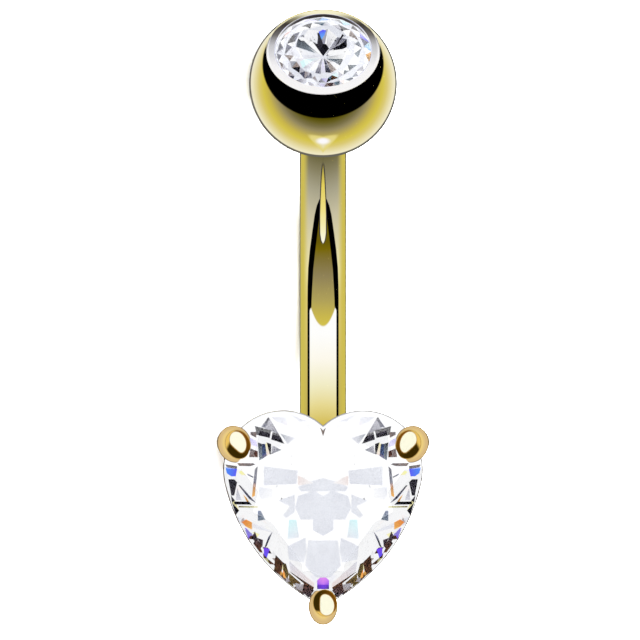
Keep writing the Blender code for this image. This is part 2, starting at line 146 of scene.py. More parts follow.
def bendPoint(turn):
    return bendCentre + bar["bendRadius"] * (upAxis * math.sin(turn) - outAxis * math.cos(turn))


lobeX = heartStone["width"] / 2 - heartStone["lobeRadius"]
flankX = lobeX - (heartStone["flankRadius"] - heartStone["lobeRadius"]) * math.cos(heartStone["flankTurn"])
flankOverLobe = (heartStone["flankRadius"] - heartStone["lobeRadius"]) * math.sin(heartStone["flankTurn"])
tipUnderLobe = math.sqrt(heartStone["flankRadius"] ** 2 - flankX**2) - flankOverLobe
lobeY = (heartStone["lobeRadius"] + tipUnderLobe) / 2 - heartStone["lobeRadius"]
flankY = lobeY + flankOverLobe


def halfOutline(grow, lobeSegments=14, flankSegments=7):
    lobe = heartStone["lobeRadius"] + grow
    flank = heartStone["flankRadius"] + grow
    cleft = math.acos(-lobeX / lobe)
    tip = -math.acos(-flankX / flank)
    bend = -heartStone["flankTurn"]
    points = []
    for i in range(lobeSegments):
        turn = cleft + (bend - cleft) * i / lobeSegments
        points.append(Vector((lobeX + lobe * math.cos(turn), lobeY + lobe * math.sin(turn), 0)))
    for i in range(flankSegments + 1):
        turn = bend + (tip - bend) * i / flankSegments
        points.append(Vector((flankX + flank * math.cos(turn), flankY + flank * math.sin(turn), 0)))
    points[0].x = 0
    points[-1].x = 0
    return points


def wholeOutline(grow, share, height, lobeSegments, flankSegments):
    half = halfOutline(grow, lobeSegments, flankSegments)
    left = [Vector((-p.x, p.y, 0)) for p in reversed(half[1:-1])]
    return [share * p + Vector((0, 0, height)) for p in half + left]


setting = {
    "upperRail": 0.56 * mm,
    "upperInset": 0.245 * mm,
    "baseRail": 0.6 * mm,
    "baseShare": 0.42,
    "baseDrop": 3.5 * mm,
    "clawFoot": 0.8 * mm,
    "sideClaw": 1.06 * mm,
    "sideInset": 0.04 * mm,
    "tipClaw": 0.92 * mm,
    "sideAngle": math.radians(29),
    "shoulderRise": 0.1 * mm,
    "bowUp": 0.32,
    "bowOut": 0.2,
    "clawSteps": 36,
    "endTurn": math.radians(87),
    "endSteps": 12,
    "endUp": 0.55,
    "endIn": 0.12,
    "headSteps": 28,
    "sides": 40,
}
# places on the heart and half sizes, in mm; lean in degrees
clawHeads = {
    "sideCollar": {"at": (2.99, 2.19, 0.52), "size": (0.57, 0.635, 0.2), "lean": -20},
    "sideBead": {"at": (2.87, 2.18, 0.74), "size": (0.43, 0.505, 0.26), "lean": -20},
    "tipCollar": {"at": (0, -3.29, 0.5), "size": (0.495, 0.625, 0.22), "lean": 0},
    "tipBead": {"at": (0.064, -3.165, 0.8), "size": (0.41, 0.46, 0.22), "lean": 10},
}
heartOrigin = (
    bendPoint(-bar["turnToHeart"])
    - upAxis * setting["baseShare"] * halfOutline(0)[0].y
    + outAxis * setting["baseDrop"]
)
heartPlace = placeOf(heartOrigin, outAxis)


# a colour as it is read off a screen, 0 to 255
def screen(*tone):
    return tuple(((c / 255 + 0.055) / 1.055) ** 2.4 if c > 10 else c / 255 / 12.92 for c in tone)


def newCollection(name):
    made = bpy.data.collections.new(name)
    bpy.context.scene.collection.children.link(made)
    return made


metalPieces = newCollection("metal")
stonePieces = newCollection("stones")
studio = newCollection("studio")
helpers = newCollection("helpers")


def addObject(name, mesh, where, place):
    obj = bpy.data.objects.new(name, mesh)
    where.objects.link(obj)
    obj.matrix_world = place
    return obj


def meshFrom(bm, name):
    bmesh.ops.recalc_face_normals(bm, faces=bm.faces)
    mesh = bpy.data.meshes.new(name)
    bm.to_mesh(mesh)
    bm.free()
    return mesh


def applied(obj):
    bpy.context.view_layer.update()
    graph = bpy.context.evaluated_depsgraph_get()
    mesh = bpy.data.meshes.new_from_object(obj.evaluated_get(graph))
    obj.modifiers.clear()
    obj.data = mesh
    return obj


def smoothShade(obj, angle=30):
    obj.data.shade_smooth()
    obj.data.set_sharp_from_angle(angle=math.radians(angle))
    return obj


# the piece's place goes into its mesh, as the solids have theirs
def settle(obj):
    obj.data.transform(obj.matrix_world)
    obj.matrix_world = Matrix()
    return obj


def cleanMesh(mesh, nearest):
    bm = bmesh.new()
    bm.from_mesh(mesh)
    bmesh.ops.remove_doubles(bm, verts=bm.verts, dist=nearest)
    bmesh.ops.recalc_face_normals(bm, faces=bm.faces)
    bm.to_mesh(mesh)
    bm.free()


# a turned shape from (radius, height) points, top to bottom; closed makes it a ring
def lathe(name, profile, steps, where, place, closed=False):
    mesh = bpy.data.meshes.new(name)
    edges = [(i, i + 1) for i in range(len(profile) - 1)]
    if closed:
        edges.append((len(profile) - 1, 0))
    mesh.from_pydata([(r, 0, h) for r, h in profile], edges, [])
    obj = addObject(name, mesh, where, place)
    turn = obj.modifiers.new("turn", "SCREW")
    turn.steps = steps
    turn.render_steps = steps
    turn.use_merge_vertices = True
    turn.merge_threshold = 0.0005 * mm
    applied(obj)
    cleanMesh(obj.data, 0.0005 * mm)
    return obj


# a wire through points, with a radius at each; closed joins its ends
def wire(name, points, radii, closed, sides, where, place):
    curve = bpy.data.curves.new(name, "CURVE")
    curve.dimensions = "3D"
    curve.bevel_depth = max(radii)
    curve.bevel_resolution = sides // 2 - 2
    curve.use_fill_caps = not closed
    spline = curve.splines.new("POLY")
    spline.points.add(len(points) - 1)
    spline.use_cyclic_u = closed
    for spot, point, radius in zip(spline.points, points, radii):
        spot.co = (*point, 1)
        spot.radius = radius / max(radii)
    drawn = addObject(name + "Path", curve, where, place)
    bpy.context.view_layer.update()
    mesh = bpy.data.meshes.new_from_object(drawn.evaluated_get(bpy.context.evaluated_depsgraph_get()))
    bpy.data.objects.remove(drawn)
    cleanMesh(mesh, 0.0003 * mm)
    return addObject(name, mesh, where, place)


def cutFacet(bm, side, azimuth, slope, distance, height, grow=0):
    out = Vector((math.cos(azimuth), math.sin(azimuth), 0))
    normal = out * math.sin(slope) + Vector((0, 0, side * math.cos(slope)))
    cut = bmesh.ops.bisect_plane(
        bm,
        geom=bm.verts[:] + bm.edges[:] + bm.faces[:],
        dist=0.0002 * mm,
        plane_co=out * distance + Vector((0, 0, height)) + normal * grow,
        plane_no=normal,
        clear_outer=True,
    )
    edges = [e for e in cut["geom_cut"] if isinstance(e, bmesh.types.BMEdge) and e.is_boundary]
    if edges:
        bmesh.ops.contextual_create(bm, geom=edges)


# cuts the faces that look along z round this convex area, and gives it two tones of painted reflection: one
# near its first corner, and one far from it
def markFlash(bm, layer, tones, corners, mirrored, side=1):
    near, far = (tones.split() * 2)[:2]
    corners = [Vector((corner.x * side, corner.y, 0)) for corner in corners]
    first = corners[0]
    reach = max((corner - first for corner in corners), key=lambda way: way.length)
    middle = sum(corners, Vector()) / len(corners)
    low = [min(c[i] for c in corners) for i in (0, 1)]
    high = [max(c[i] for c in corners) for i in (0, 1)]

    def overlaps(face, i):
        places = [v.co[i] for v in face.verts]
        return max(places) > low[i] and min(places) < high[i]

    def touched(face):
        return face.normal.z > 0.2 and overlaps(face, 0) and overlaps(face, 1)

    inner = [f for f in bm.faces if touched(f)]
    for start, end in zip(corners, corners[1:] + corners[:1]):
        out = Vector((end.y - start.y, start.x - end.x, 0)).normalized()
        if out.dot(middle - start) > 0:
            out = -out
        geom = inner + [e for f in inner for e in f.edges] + [v for f in inner for v in f.verts]
        geom = list(dict.fromkeys(geom))  # each once and in a fixed order, so that every run cuts alike
        bmesh.ops.bisect_plane(bm, geom=geom, dist=0.0002 * mm, plane_co=start, plane_no=out)
        inner = [f for f in bm.faces if touched(f) and out.dot(f.calc_center_median() - start) < 0]
    for face in inner:
        centre = face.calc_center_median()
        inside = all(
            ((end - start).cross(centre - start)).z * ((end - start).cross(middle - start)).z > 0
            for start, end in zip(corners, corners[1:] + corners[:1])
        )
        if inside:
            lost = mirrored if face.normal.z > 0.99 else 0.0
            nearTint, farTint = glassTint(near, lost), glassTint(far, lost)
            for loop in face.loops:
                share = (loop.vert.co.xy - first.xy).dot(reach.xy) / reach.length_squared
                share = min(max(share, 0.0), 1.0)
                loop[layer] = (*(n + (f - n) * share for n, f in zip(nearTint, farTint)), 1)


# its points and faces are laid one by one, so that they come in the same order in every run
def prism(outline, bottom, top):
    bm = bmesh.new()
    low = [bm.verts.new((p.x, p.y, bottom)) for p in outline]
    high = [bm.verts.new((p.x, p.y, top)) for p in outline]
    bm.faces.new(low)
    bm.faces.new(high)
    for i in range(len(outline)):
        bm.faces.new((low[i - 1], low[i], high[i], high[i - 1]))
    bmesh.ops.recalc_face_normals(bm, faces=bm.faces)
    return bm


# adds the left half of a shape that has its right half; points nearer to the middle than this are shared
def addLeftHalf(bm, nearest):
    twins = {}
    for vert in list(bm.verts):
        x, y, z = vert.co
        twins[vert] = vert if abs(x) < nearest else bm.verts.new((-x, y, z))
    for face in list(bm.faces):
        bm.faces.new([twins[vert] for vert in reversed(face.verts)])


# painted reflections: tones that a cut stone throws back, facet by facet, painted into the stones' colour
paintedFlashTone = {
    "white": (255, 255, 255), "mist": (235, 237, 243), "haze": (227, 229, 236),
    "pearl": (216, 217, 225), "dove": (182, 181, 190), "steel": (128, 138, 148),
    "slate": (96, 98, 118), "teal": (84, 112, 128), "denim": (82, 100, 138),
    "navy": (38, 52, 96), "charcoal": (60, 58, 66), "ink": (30, 30, 40),
    "black": (10, 10, 14), "espresso": (52, 36, 26), "umber": (88, 58, 42),
    "taupe": (152, 138, 132), "olive": (110, 94, 54), "khaki": (212, 206, 152),
    "cream": (250, 240, 192), "lemon": (250, 250, 164), "blush": (240, 226, 222),
    "rose": (206, 112, 112), "amber": (252, 186, 96), "rust": (244, 138, 66),
    "lilac": (224, 218, 248), "dusk": (152, 150, 206), "plum": (66, 44, 54),
    "violet": (124, 66, 236), "pink": (236, 150, 250), "royal": (94, 90, 244),
    "blue": (78, 142, 246), "sky": (110, 176, 240), "aqua": (136, 204, 222),
    "ice": (214, 248, 250),
}


# the tint that gives this tone on glass that mirrors some of the light as well
def glassTint(tone, mirrored):
    return tuple(min(max((c - mirrored) / 0.94, 0.0), 1.0) ** 2 for c in screen(*paintedFlashTone[tone]))


# the crown starts in one painted reflection tone; the facets of the underside, seen from behind only, take
# turns between painted reflection tones
def paintedFlashLayer(bm, tone):
    paintedUnderTones = ("dove", "mist", "pearl", "steel", "haze")
    bmesh.ops.recalc_face_normals(bm, faces=bm.faces)
    layer = bm.loops.layers.float_color.new("flash")
    for face in bm.faces:
        turn = round(4 * math.atan2(face.normal.y, abs(face.normal.x)))
        shade = paintedUnderTones[turn % len(paintedUnderTones)] if face.normal.z < -0.05 else tone
        for loop in face.loops:
            loop[layer] = (*glassTint(shade, 0.0), 1)
    return layer


# rings of small painted reflections that point in and out by turns, then the single painted marks, with
# corners in mm;
# "clear" leaves the glass as it is
def markFlashes(bm, layer, flashes, place, mirrored, sides=(1,)):
    areas = []
    for ring in flashes["rings"]:
        draw = random.Random(ring["seed"])
        tones = ring["tones"].split(", ")
        first, last = ring.get("turns", (0, 360))
        step = (last - first) / (len(tones) + (first + 360 != last))
        shares = ring["shares"]
        corners = []
        for i in range(len(tones) + 2):
            turn = first + step * (i + ring["ragged"] * draw.uniform(-1, 1))
            inward = ring["ragged"] * draw.uniform(0, 1) * (shares[1] - shares[0])
            share = shares[i % 2] + inward * (1 - 2 * (i % 2))
            corners.append(place(math.radians(turn), share))
        areas += [(pair, corners[i : i + 3]) for i, pair in enumerate(tones) if pair != "clear"]
    for pair, *corners in flashes["marks"]:
        areas.append((pair, [Vector(corner) * mm for corner in corners]))
    for pair, corners in areas:
        for side in sides:
            markFlash(bm, layer, pair, corners, mirrored, side)


print("round stone")
# painted reflections and dark flashes on the round stone's crown, in its colour
roundPaintedFlashes = {
    "centre": Vector((0, -0.58 * mm)),
    "rings": (
        {
            "shares": (0.03, 0.6),
            "ragged": 0.25,
            "seed": 4,
            "tones": "mist, white, slate, ink black, white, slate dove, mist, white dove, white, dove "
            "denim, white, charcoal ink, white, white, white, charcoal steel, mist, white mist, "
            "pearl, mist pearl, white, ice haze, mist, dove haze, white, mist white, dove, slate "
            "dove, mist, pearl lilac, white, ink slate, dove, taupe charcoal, white, white dove, "
            "steel, ink steel, white, white steel",
        },
        {
            "shares": (0.6, 0.8),
            "ragged": 0.4,
            "seed": 9,
            "tones": "white, steel, white, slate steel, mist, taupe umber, white, ink charcoal, dove, "
            "white, pearl dove, teal slate, white, charcoal ink, white, white, slate, charcoal "
            "ink, white, slate charcoal, pearl, umber taupe, white, dove steel, taupe, ink black, "
            "dove, black slate, taupe dove, charcoal slate, pearl, taupe dove, mist, slate dove, "
            "dusk lilac, black ink, teal navy, espresso umber, ice mist, dove, white, charcoal "
            "steel, white, ink steel, white, white",
        },
        {
            "shares": (0.8, 1.0),
            "ragged": 0.4,
            "seed": 2,
            "tones": "white, umber amber, white, sky ice, slate, royal dusk, white, espresso charcoal, "
            "pearl, aqua ice, slate charcoal, white, blue sky, charcoal teal, lilac dusk, white, "
            "dove slate, white, rose blush, taupe slate, white, ink slate, pearl, charcoal slate, "
            "white, charcoal umber, dove, white, taupe dove, slate charcoal, mist, charcoal dove, "
            "dove pearl, white, slate dove, taupe pearl, mist dove, pearl, lilac dove, charcoal "
            "taupe, umber charcoal, taupe dove, teal steel, pearl dove, blush, white, steel "
            "slate, white, teal dove, white, dove, white",
        },
    ),
    "marks": (
        ("white mist", (-0.65, 0.35), (-0.5, 0.65), (-0.15, 0.6), (-0.2, 0.0), (-0.4, 0.15)),
        ("charcoal steel", (-0.8, 0.15), (-0.65, 0.15), (-0.15, -0.45)),
        ("white white", (0.2, -0.3), (0.8, -0.2), (0.8, -0.35), (0.15, -0.5)),
        ("ink black", (0.25, -0.25), (0.45, -0.1), (0.8, 0.05), (0.8, -0.1)),
        ("charcoal ink", (0.4, -0.1), (0.65, 0.45), (0.7, 0.4), (0.5, 0.0)),
        ("ink black", (0.0, -0.55), (-0.1, -0.3), (-0.05, 0.0), (0.1, 0.0), (0.2, -0.2)),
        ("charcoal ink", (-0.2, 0.5), (-0.1, 0.5), (0.0, 0.0), (-0.1, -0.25)),
        ("royal sky", (-0.15, 0.55), (0.0, 0.65), (0.1, 0.6), (0.05, 0.4), (-0.05, 0.2)),
    ),
}


# a point of the crown by its turn round the pattern's centre and its share of the way to the girdle
def roundPoint(turn, share):
    centre = roundPaintedFlashes["centre"]
    way = Vector((math.cos(turn), math.sin(turn)))
    along = centre.dot(way)
    reach = math.sqrt(along**2 + (roundStone["diameter"] / 2) ** 2 - centre.length_squared) - along
    return centre + way * reach * share


# the facets by kind: side, how many, first direction, steepness, distance from the axis and height
def roundFacets():
    size = roundStone
    radius = size["diameter"] / 2
    starTurn = math.pi / size["fold"]
    tableEdge = size["table"] / 2 * math.cos(starTurn)
    main = size["crown"] / (radius - size["table"] / 2)
    starEnd = tableEdge + size["starShare"] * (radius - tableEdge)
    starEndHeight = (radius - starEnd * math.cos(starTurn)) * main
    star = (size["crown"] - starEndHeight) / (starEnd - tableEdge)
    halfEdge = radius * math.cos(starTurn / 2)
    half = starEndHeight / (halfEdge - starEnd * math.cos(starTurn / 2))
    pavilion = size["pavilion"] / radius
    lowerEnd = size["lowerShare"] * radius
    lowerDepth = (radius - lowerEnd * math.cos(starTurn)) * pavilion
    lower = lowerDepth / (halfEdge - lowerEnd * math.cos(starTurn / 2))
    return {
        "main": (1, size["fold"], 0, main, radius, 0),
        "star": (1, size["fold"], starTurn, star, tableEdge, size["crown"]),
        "half": (1, 2 * size["fold"], starTurn / 2, half, halfEdge, 0),
        "pavilion": (-1, size["fold"], 0, pavilion, radius, -size["girdle"]),
        "lower": (-1, 2 * size["fold"], starTurn / 2, lower, halfEdge, -size["girdle"]),
    }


# the direction and the slope of one facet
def roundFacet(kind, i):
    side, count, first, steepness, *place = roundFacets()[kind]
    return first + i * math.tau / count, math.atan(steepness)


def makeRoundStone():
    size = roundStone
    radius = size["diameter"] / 2
    turns = [i * math.tau / size["sides"] for i in range(size["sides"])]
    girdle = [Vector((radius * math.cos(turn), radius * math.sin(turn), 0)) for turn in turns]
    bm = prism(girdle, -size["girdle"] - size["pavilion"], size["crown"])
    for side, count, first, steepness, distance, height in roundFacets().values():
        for i in range(count):
            cutFacet(bm, side, first + i * math.tau / count, math.atan(steepness), distance, height)
    bmesh.ops.remove_doubles(bm, verts=bm.verts, dist=0.002 * mm)
    # the whole crown is painted a pale grey reflection tone, then the painted flashes go on it
    layer = paintedFlashLayer(bm, "haze")
    markFlashes(bm, layer, roundPaintedFlashes, roundPoint, 0.0)
    return meshFrom(bm, "roundStone")


bezelRadius = roundStone["diameter"] / 2 + roundStone["gap"] + bezel["wall"]
bezelTop = math.sqrt(ballRadius**2 - bezelRadius**2)
girdleTop = bezelTop - bezel["lipThickness"] - roundStone["gap"]
roundPlace = ballPlace @ Matrix.Translation((0, 0, girdleTop))
roundPiece = settle(addObject("roundBrilliant", makeRoundStone(), stonePieces, roundPlace))
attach(roundPiece, "ball")
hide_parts("round_stone")

print("heart stone")
# facets of the right half's crown: direction and slope in degrees, and how far in
# they start, as a share of the crown's height
heartStars = (
    (0, 34, 1.16),
    (-24, 35, 1.02),
    (-48, 37, 0.84),
    (60, 34, 1.2),
    (112, 36, 1.15),
)
heartHalves = (
    (-66, 47, 0.93),
    (-36, 45, 1.0),
    (-12, 44, 1.03),
    (15, 44, 1.03),
    (44, 44, 1.03),
    (76, 44, 1.03),
    (98, 45, 1.0),
    (126, 47, 0.93),
)
# main facets of the right half's underside: directions in degrees
heartMains = (-58, -30, -5, 25, 58, 92, 122)
# painted reflections and dark flashes on the heart's crown, in its colour; the right half, mirrored to the
# left
heartPaintedFlashes = {
    "rings": (
        {
            "shares": (0.92, 1.0),
            "turns": (12, -88),
            "ragged": 0.35,
            "seed": 5,
            "tones": "clear, charcoal ink, khaki cream, black ink, clear, clear, taupe blush, clear, "
            "clear, dusk violet, umber espresso, clear, espresso plum, umber, espresso umber, "
            "clear, umber espresso, khaki espresso, espresso umber, clear, olive umber, espresso "
            "umber, amber umber, umber espresso, dove taupe, espresso olive, clear, umber "
            "espresso, espresso charcoal, clear, umber charcoal, umber plum",
        },
        {
            "shares": (0.84, 0.92),
            "turns": (-15, -60),
            "ragged": 0.35,
            "seed": 3,
            "tones": "clear, lemon cream, clear, plum charcoal, clear, charcoal umber, umber plum, clear, "
            "clear, taupe olive, clear, cream khaki, espresso umber",
        },
    ),
    "marks": (
        # the table
        ("mist haze", (2.0, 1.45), (0.85, 1.3), (0.9, 0.85), (2.0, 0.8)),
        ("mist white", (2.15, 0.75), (1.7, 0.7), (1.7, 0.4), (2.2, 0.3)),
        ("haze mist", (0.85, 0.75), (0.4, 0.95), (0.0, 1.05), (0.0, 0.6), (0.75, 0.6)),
        ("blush white", (0.85, 1.15), (0.75, 1.1), (0.2, 0.9), (0.85, 0.8)),
        ("mist haze", (1.5, 0.3), (0.95, 0.5), (1.0, 0.05), (1.35, 0.2)),
        ("haze mist", (0.85, 0.45), (0.25, 0.65), (0.25, -0.35), (0.75, -0.35), (0.95, 0.05)),
        ("mist haze", (0.25, 0.6), (0.0, 0.45), (0.0, -0.9), (0.35, -0.7), (0.35, -0.35)),
        ("mist haze", (1.35, -0.2), (0.95, 0.35), (0.95, -0.1), (1.25, -0.3)),
        ("ice mist", (1.15, -0.35), (0.9, -0.35), (0.8, -0.95), (1.2, -1.0)),
        ("haze mist", (1.2, -1.25), (0.6, -0.95), (0.55, -1.4), (0.65, -1.8), (1.15, -1.7)),
        ("mist haze", (0.5, -1.05), (0.0, -1.05), (0.0, -2.3), (0.25, -2.3), (0.6, -1.9)),
        ("pearl blush", (1.15, -1.75), (0.3, -2.5), (0.3, -2.65), (1.1, -2.1)),
        # the lobe and the corner beside the claw
        ("pearl mist", (1.75, 3.1), (1.25, 3.1), (1.2, 2.8), (1.55, 2.95)),
        ("mist pearl", (1.15, 3.2), (0.5, 2.95), (0.8, 2.95)),
        ("dove slate", (1.8, 3.05), (1.5, 2.55), (2.0, 2.7)),
        ("charcoal slate", (1.8, 3.05), (1.95, 2.75), (2.1, 2.75), (1.85, 3.1)),
        ("ink charcoal", (2.3, 2.8), (1.75, 2.65), (1.8, 2.4), (2.25, 2.5)),
        ("charcoal ink", (1.7, 2.6), (1.5, 2.55), (1.3, 2.2), (1.75, 2.35)),
        ("steel pearl", (1.45, 2.55), (0.95, 2.4), (1.2, 2.2)),
        ("plum umber", (2.45, 2.6), (2.25, 2.6), (2.25, 2.4), (2.45, 2.5)),
        ("dusk lilac", (2.55, 2.45), (2.25, 2.3), (2.2, 2.1), (2.4, 2.15)),
        ("plum umber", (2.45, 2.05), (2.2, 1.95), (2.2, 1.75), (2.5, 1.75)),
        # the kite under it
        ("charcoal steel", (2.2, 2.25), (2.05, 2.2), (2.05, 1.7), (2.15, 1.65)),
        ("navy denim", (2.05, 2.2), (1.95, 2.2), (1.9, 1.8), (2.05, 1.7)),
        ("cream blush", (1.95, 2.2), (1.9, 2.25), (1.8, 1.85), (1.9, 1.8)),
        ("ink charcoal", (1.9, 2.25), (1.75, 2.2), (1.75, 1.85), (1.8, 1.85)),
        ("dove steel", (1.7, 2.15), (1.4, 2.0), (1.75, 1.85)),
        # the flank
        ("umber charcoal", (2.9, 1.55), (2.35, 1.55), (2.2, 1.45), (2.45, 1.45), (2.75, 1.35)),
        ("plum ink", (3.3, 1.5), (2.9, 1.45), (2.9, 1.35), (3.25, 1.4)),
        ("royal blue", (2.9, 1.35), (2.95, 1.1), (3.1, 1.1), (3.25, 1.2), (3.3, 1.4)),
        ("lemon cream", (2.85, 1.25), (2.75, 1.3), (2.6, 1.15), (2.75, 1.15)),
        ("navy charcoal", (2.55, 1.2), (2.35, 1.1), (2.35, 1.05), (2.55, 1.15)),
        ("charcoal slate", (2.2, 1.45), (2.25, 0.9), (2.35, 0.9), (2.3, 1.35)),
        ("slate amber", (2.35, 0.9), (2.25, 0.9), (2.3, 0.45), (2.4, 0.4)),
        ("ink charcoal", (3.2, 1.0), (3.0, 1.0), (2.9, 0.9), (3.0, 0.45), (3.1, 0.45)),
        ("charcoal slate", (2.85, 0.8), (2.8, 0.8), (2.25, 0.2), (2.5, 0.35)),
        ("amber umber", (2.7, 0.5), (2.6, 0.4), (2.5, 0.25), (2.55, 0.2)),
        ("dove pearl", (2.9, 0.7), (2.75, 0.3), (2.95, 0.3)),
        ("black ink", (3.0, 0.25), (2.5, 0.25), (2.4, 0.15), (3.0, 0.15)),
        ("olive khaki", (2.85, 0.1), (2.2, 0.1), (2.2, 0.05), (2.85, 0.05)),
        ("denim steel", (2.2, -0.05), (2.1, -0.05), (1.95, -0.35), (2.2, -0.4)),
        ("rust amber", (2.75, -0.45), (2.6, -0.35), (2.4, -0.45), (2.4, -0.7), (2.6, -0.6)),
        ("violet dusk", (2.65, -0.65), (2.6, -0.65), (2.35, -0.9), (2.45, -0.9)),
        ("plum charcoal", (2.3, -0.75), (2.2, -1.05), (2.4, -0.95)),
        ("charcoal umber", (2.4, -0.95), (2.2, -1.05), (2.05, -1.25), (2.15, -1.4)),
        ("slate black", (1.7, -0.75), (1.9, -1.25), (2.0, -1.35), (1.85, -0.95)),
        ("violet royal", (2.0, -1.3), (1.8, -1.35), (1.9, -1.65), (2.0, -1.55)),
        # the way down to the tip
        ("espresso umber", (1.6, -1.55), (1.35, -1.8), (1.4, -2.1), (1.5, -2.2), (1.65, -1.9)),
        ("espresso olive", (1.35, -1.8), (1.25, -1.85), (1.15, -2.2), (1.2, -2.35), (1.35, -2.25)),
        ("rust amber", (1.35, -2.05), (1.3, -2.15), (1.25, -2.35), (1.35, -2.3)),
        ("olive umber", (1.15, -2.15), (0.75, -2.5), (0.85, -2.65), (1.15, -2.4)),
        ("espresso umber", (1.15, -2.1), (1.05, -2.15), (0.3, -2.65), (0.35, -2.75)),
        ("dove taupe", (0.95, -2.5), (0.65, -2.55), (0.7, -2.8), (0.9, -2.7)),
        ("umber charcoal", (0.65, -2.5), (0.3, -2.75), (0.5, -3.0), (0.7, -2.8)),
        ("pink violet", (0.0, -2.3), (0.1, -2.3), (0.2, -2.4), (0.2, -2.55), (0.0, -2.55)),
        ("violet charcoal", (0.0, -2.55), (0.2, -2.55), (0.2, -2.7), (0.0, -2.7)),
        ("espresso umber", (0.1, 2.75), (0.0, 2.65), (0.0, 2.45)),
    ),
}


fineOutline = halfOutline(0, 56, 28)


# a point of the right half by its turn round the middle and its share of the way to the outline
def heartPoint(turn, share):
    way = Vector((math.cos(turn), math.sin(turn), 0))
    for start, end in zip(fineOutline, fineOutline[1:]):
        before, after = way.cross(start).z, way.cross(end).z
        if before >= 0 > after:
            return (start + (end - start) * before / (before - after)).xy * share
    return fineOutline[-1].xy * share


lowerHalfTurn = 12
lowerHalfSteeper = math.radians(3.5)


def makeHeart(name, grow, flashes=None):
    size = heartStone

    def reachAlong(turn):
        return max(p.x * math.cos(turn) + p.y * math.sin(turn) for p in fineOutline)

    top = size["girdle"] / 2 + size["crown"]
    bm = prism(halfOutline(grow), -size["girdle"] / 2 - size["pavilion"] - grow, top + grow)
    for azimuth, slope, inset in heartStars + heartHalves:
        turn = math.radians(azimuth)
        cutFacet(bm, 1, turn, math.radians(slope), reachAlong(turn) - inset * size["crown"], top, grow)
    for azimuth in heartMains:
        for twist in (0, -1, 1):
            turn = math.radians(azimuth + twist * lowerHalfTurn)
            reach = reachAlong(turn)
            slope = math.atan(size["pavilion"] / (reach - size["culetRise"] * math.sin(turn)))
            cutFacet(bm, -1, turn, slope + abs(twist) * lowerHalfSteeper, reach, -size["girdle"] / 2, grow)
    seam = [f for f in bm.faces if f.normal.x < -0.999 and all(abs(v.co.x) < 1e-8 for v in f.verts)]
    bmesh.ops.delete(bm, geom=seam, context="FACES_ONLY")
    addLeftHalf(bm, 0.001 * mm)
    bmesh.ops.remove_doubles(bm, verts=bm.verts, dist=0.002 * mm)
    bmesh.ops.dissolve_limit(bm, angle_limit=math.radians(0.2), verts=bm.verts, edges=bm.edges)
    # the crown starts white, then the painted flashes go on it
    layer = paintedFlashLayer(bm, "white")
    if flashes:
        markFlashes(bm, layer, flashes, heartPoint, heartStone["tableMirror"], (-1, 1))
    return meshFrom(bm, name)


heartMesh = makeHeart("heartBrilliant", 0, heartPaintedFlashes)
heartPiece = settle(addObject("heartBrilliant", heartMesh, stonePieces, heartPlace))
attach(heartPiece, "bar")
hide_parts("heart_stone")

print("ball and bezel")
girdleBottom = girdleTop - roundStone["girdle"]
seatBottom = girdleBottom - roundStone["pavilion"] - 2 * roundStone["gap"]
boreBottom = seatBottom - ball["seatFloor"]


def makeBall():
    seatRadius = roundStone["diameter"] / 2 + roundStone["gap"]
    lipRadius = seatRadius - bezel["lip"]
    rebate = bezelTop - bezel["depth"]
    ledge = rebate - bezel["seam"] / 2
    first = math.asin((bezelRadius + bezel["seam"]) / ballRadius)
    last = math.pi - math.asin(footRadius / ballRadius)
    profile = [
        (0, seatBottom),
        (seatRadius, girdleBottom - roundStone["gap"]),
        (seatRadius, ledge),
        (bezelRadius + bezel["seam"], ledge),
        (bezelRadius + bezel["seam"], ballRadius * math.cos(first) - bezel["rounding"]),
    ]
    for i in range(ball["arcSteps"] + 1):
        span = last - first - 2 * ball["arcInset"]
        turn = first + ball["arcInset"] + span * i / ball["arcSteps"]
        profile.append((ballRadius * math.sin(turn), ballRadius * math.cos(turn)))
    profile += [
        (footRadius - bezel["seam"], -footDrop),
        (ball["boreRadius"] + ball["boreChamfer"], -footDrop),
        (ball["boreRadius"], -footDrop + ball["boreChamfer"]),
        (ball["boreRadius"], boreBottom),
        (0, boreBottom),
    ]
    shell = smoothShade(lathe("ballShell", profile, ball["steps"], metalPieces, ballPlace))
    drop = (bezelRadius - lipRadius) * math.tan(bezel["slope"])
    soft = bezel["rounding"]
    corner = bezel["shoulder"]
    cornerTurn = math.pi / 2 - bezel["slope"]
    cornerTop = bezelTop - corner * math.tan(cornerTurn / 2)
    ring = [(lipRadius + soft, bezelTop + drop)]
    for i in range(bezel["cornerSteps"] + 1):
        turn = bezel["slope"] + cornerTurn * i / bezel["cornerSteps"]
        ring.append((bezelRadius - corner + corner * math.sin(turn), cornerTop + corner * math.cos(turn)))
    ring += [
        (bezelRadius, rebate),
        (seatRadius, rebate),
        (seatRadius, girdleTop + roundStone["gap"]),
        (lipRadius + soft, bezelTop - bezel["lipThickness"] / 3),
        (lipRadius, bezelTop - bezel["lipThickness"] / 6),
        (lipRadius, bezelTop + drop - soft),
        (lipRadius + soft * 0.3, bezelTop + drop - soft * 0.3),
    ]
    rim = smoothShade(lathe("bezelRim", ring, ball["steps"], metalPieces, ballPlace, closed=True))
    return shell, rim


ballShell, bezelRim = makeBall()
for piece in (ballShell, bezelRim):
    settle(piece)
    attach(piece, "ball")
    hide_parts("threaded_ball")

print("bar")


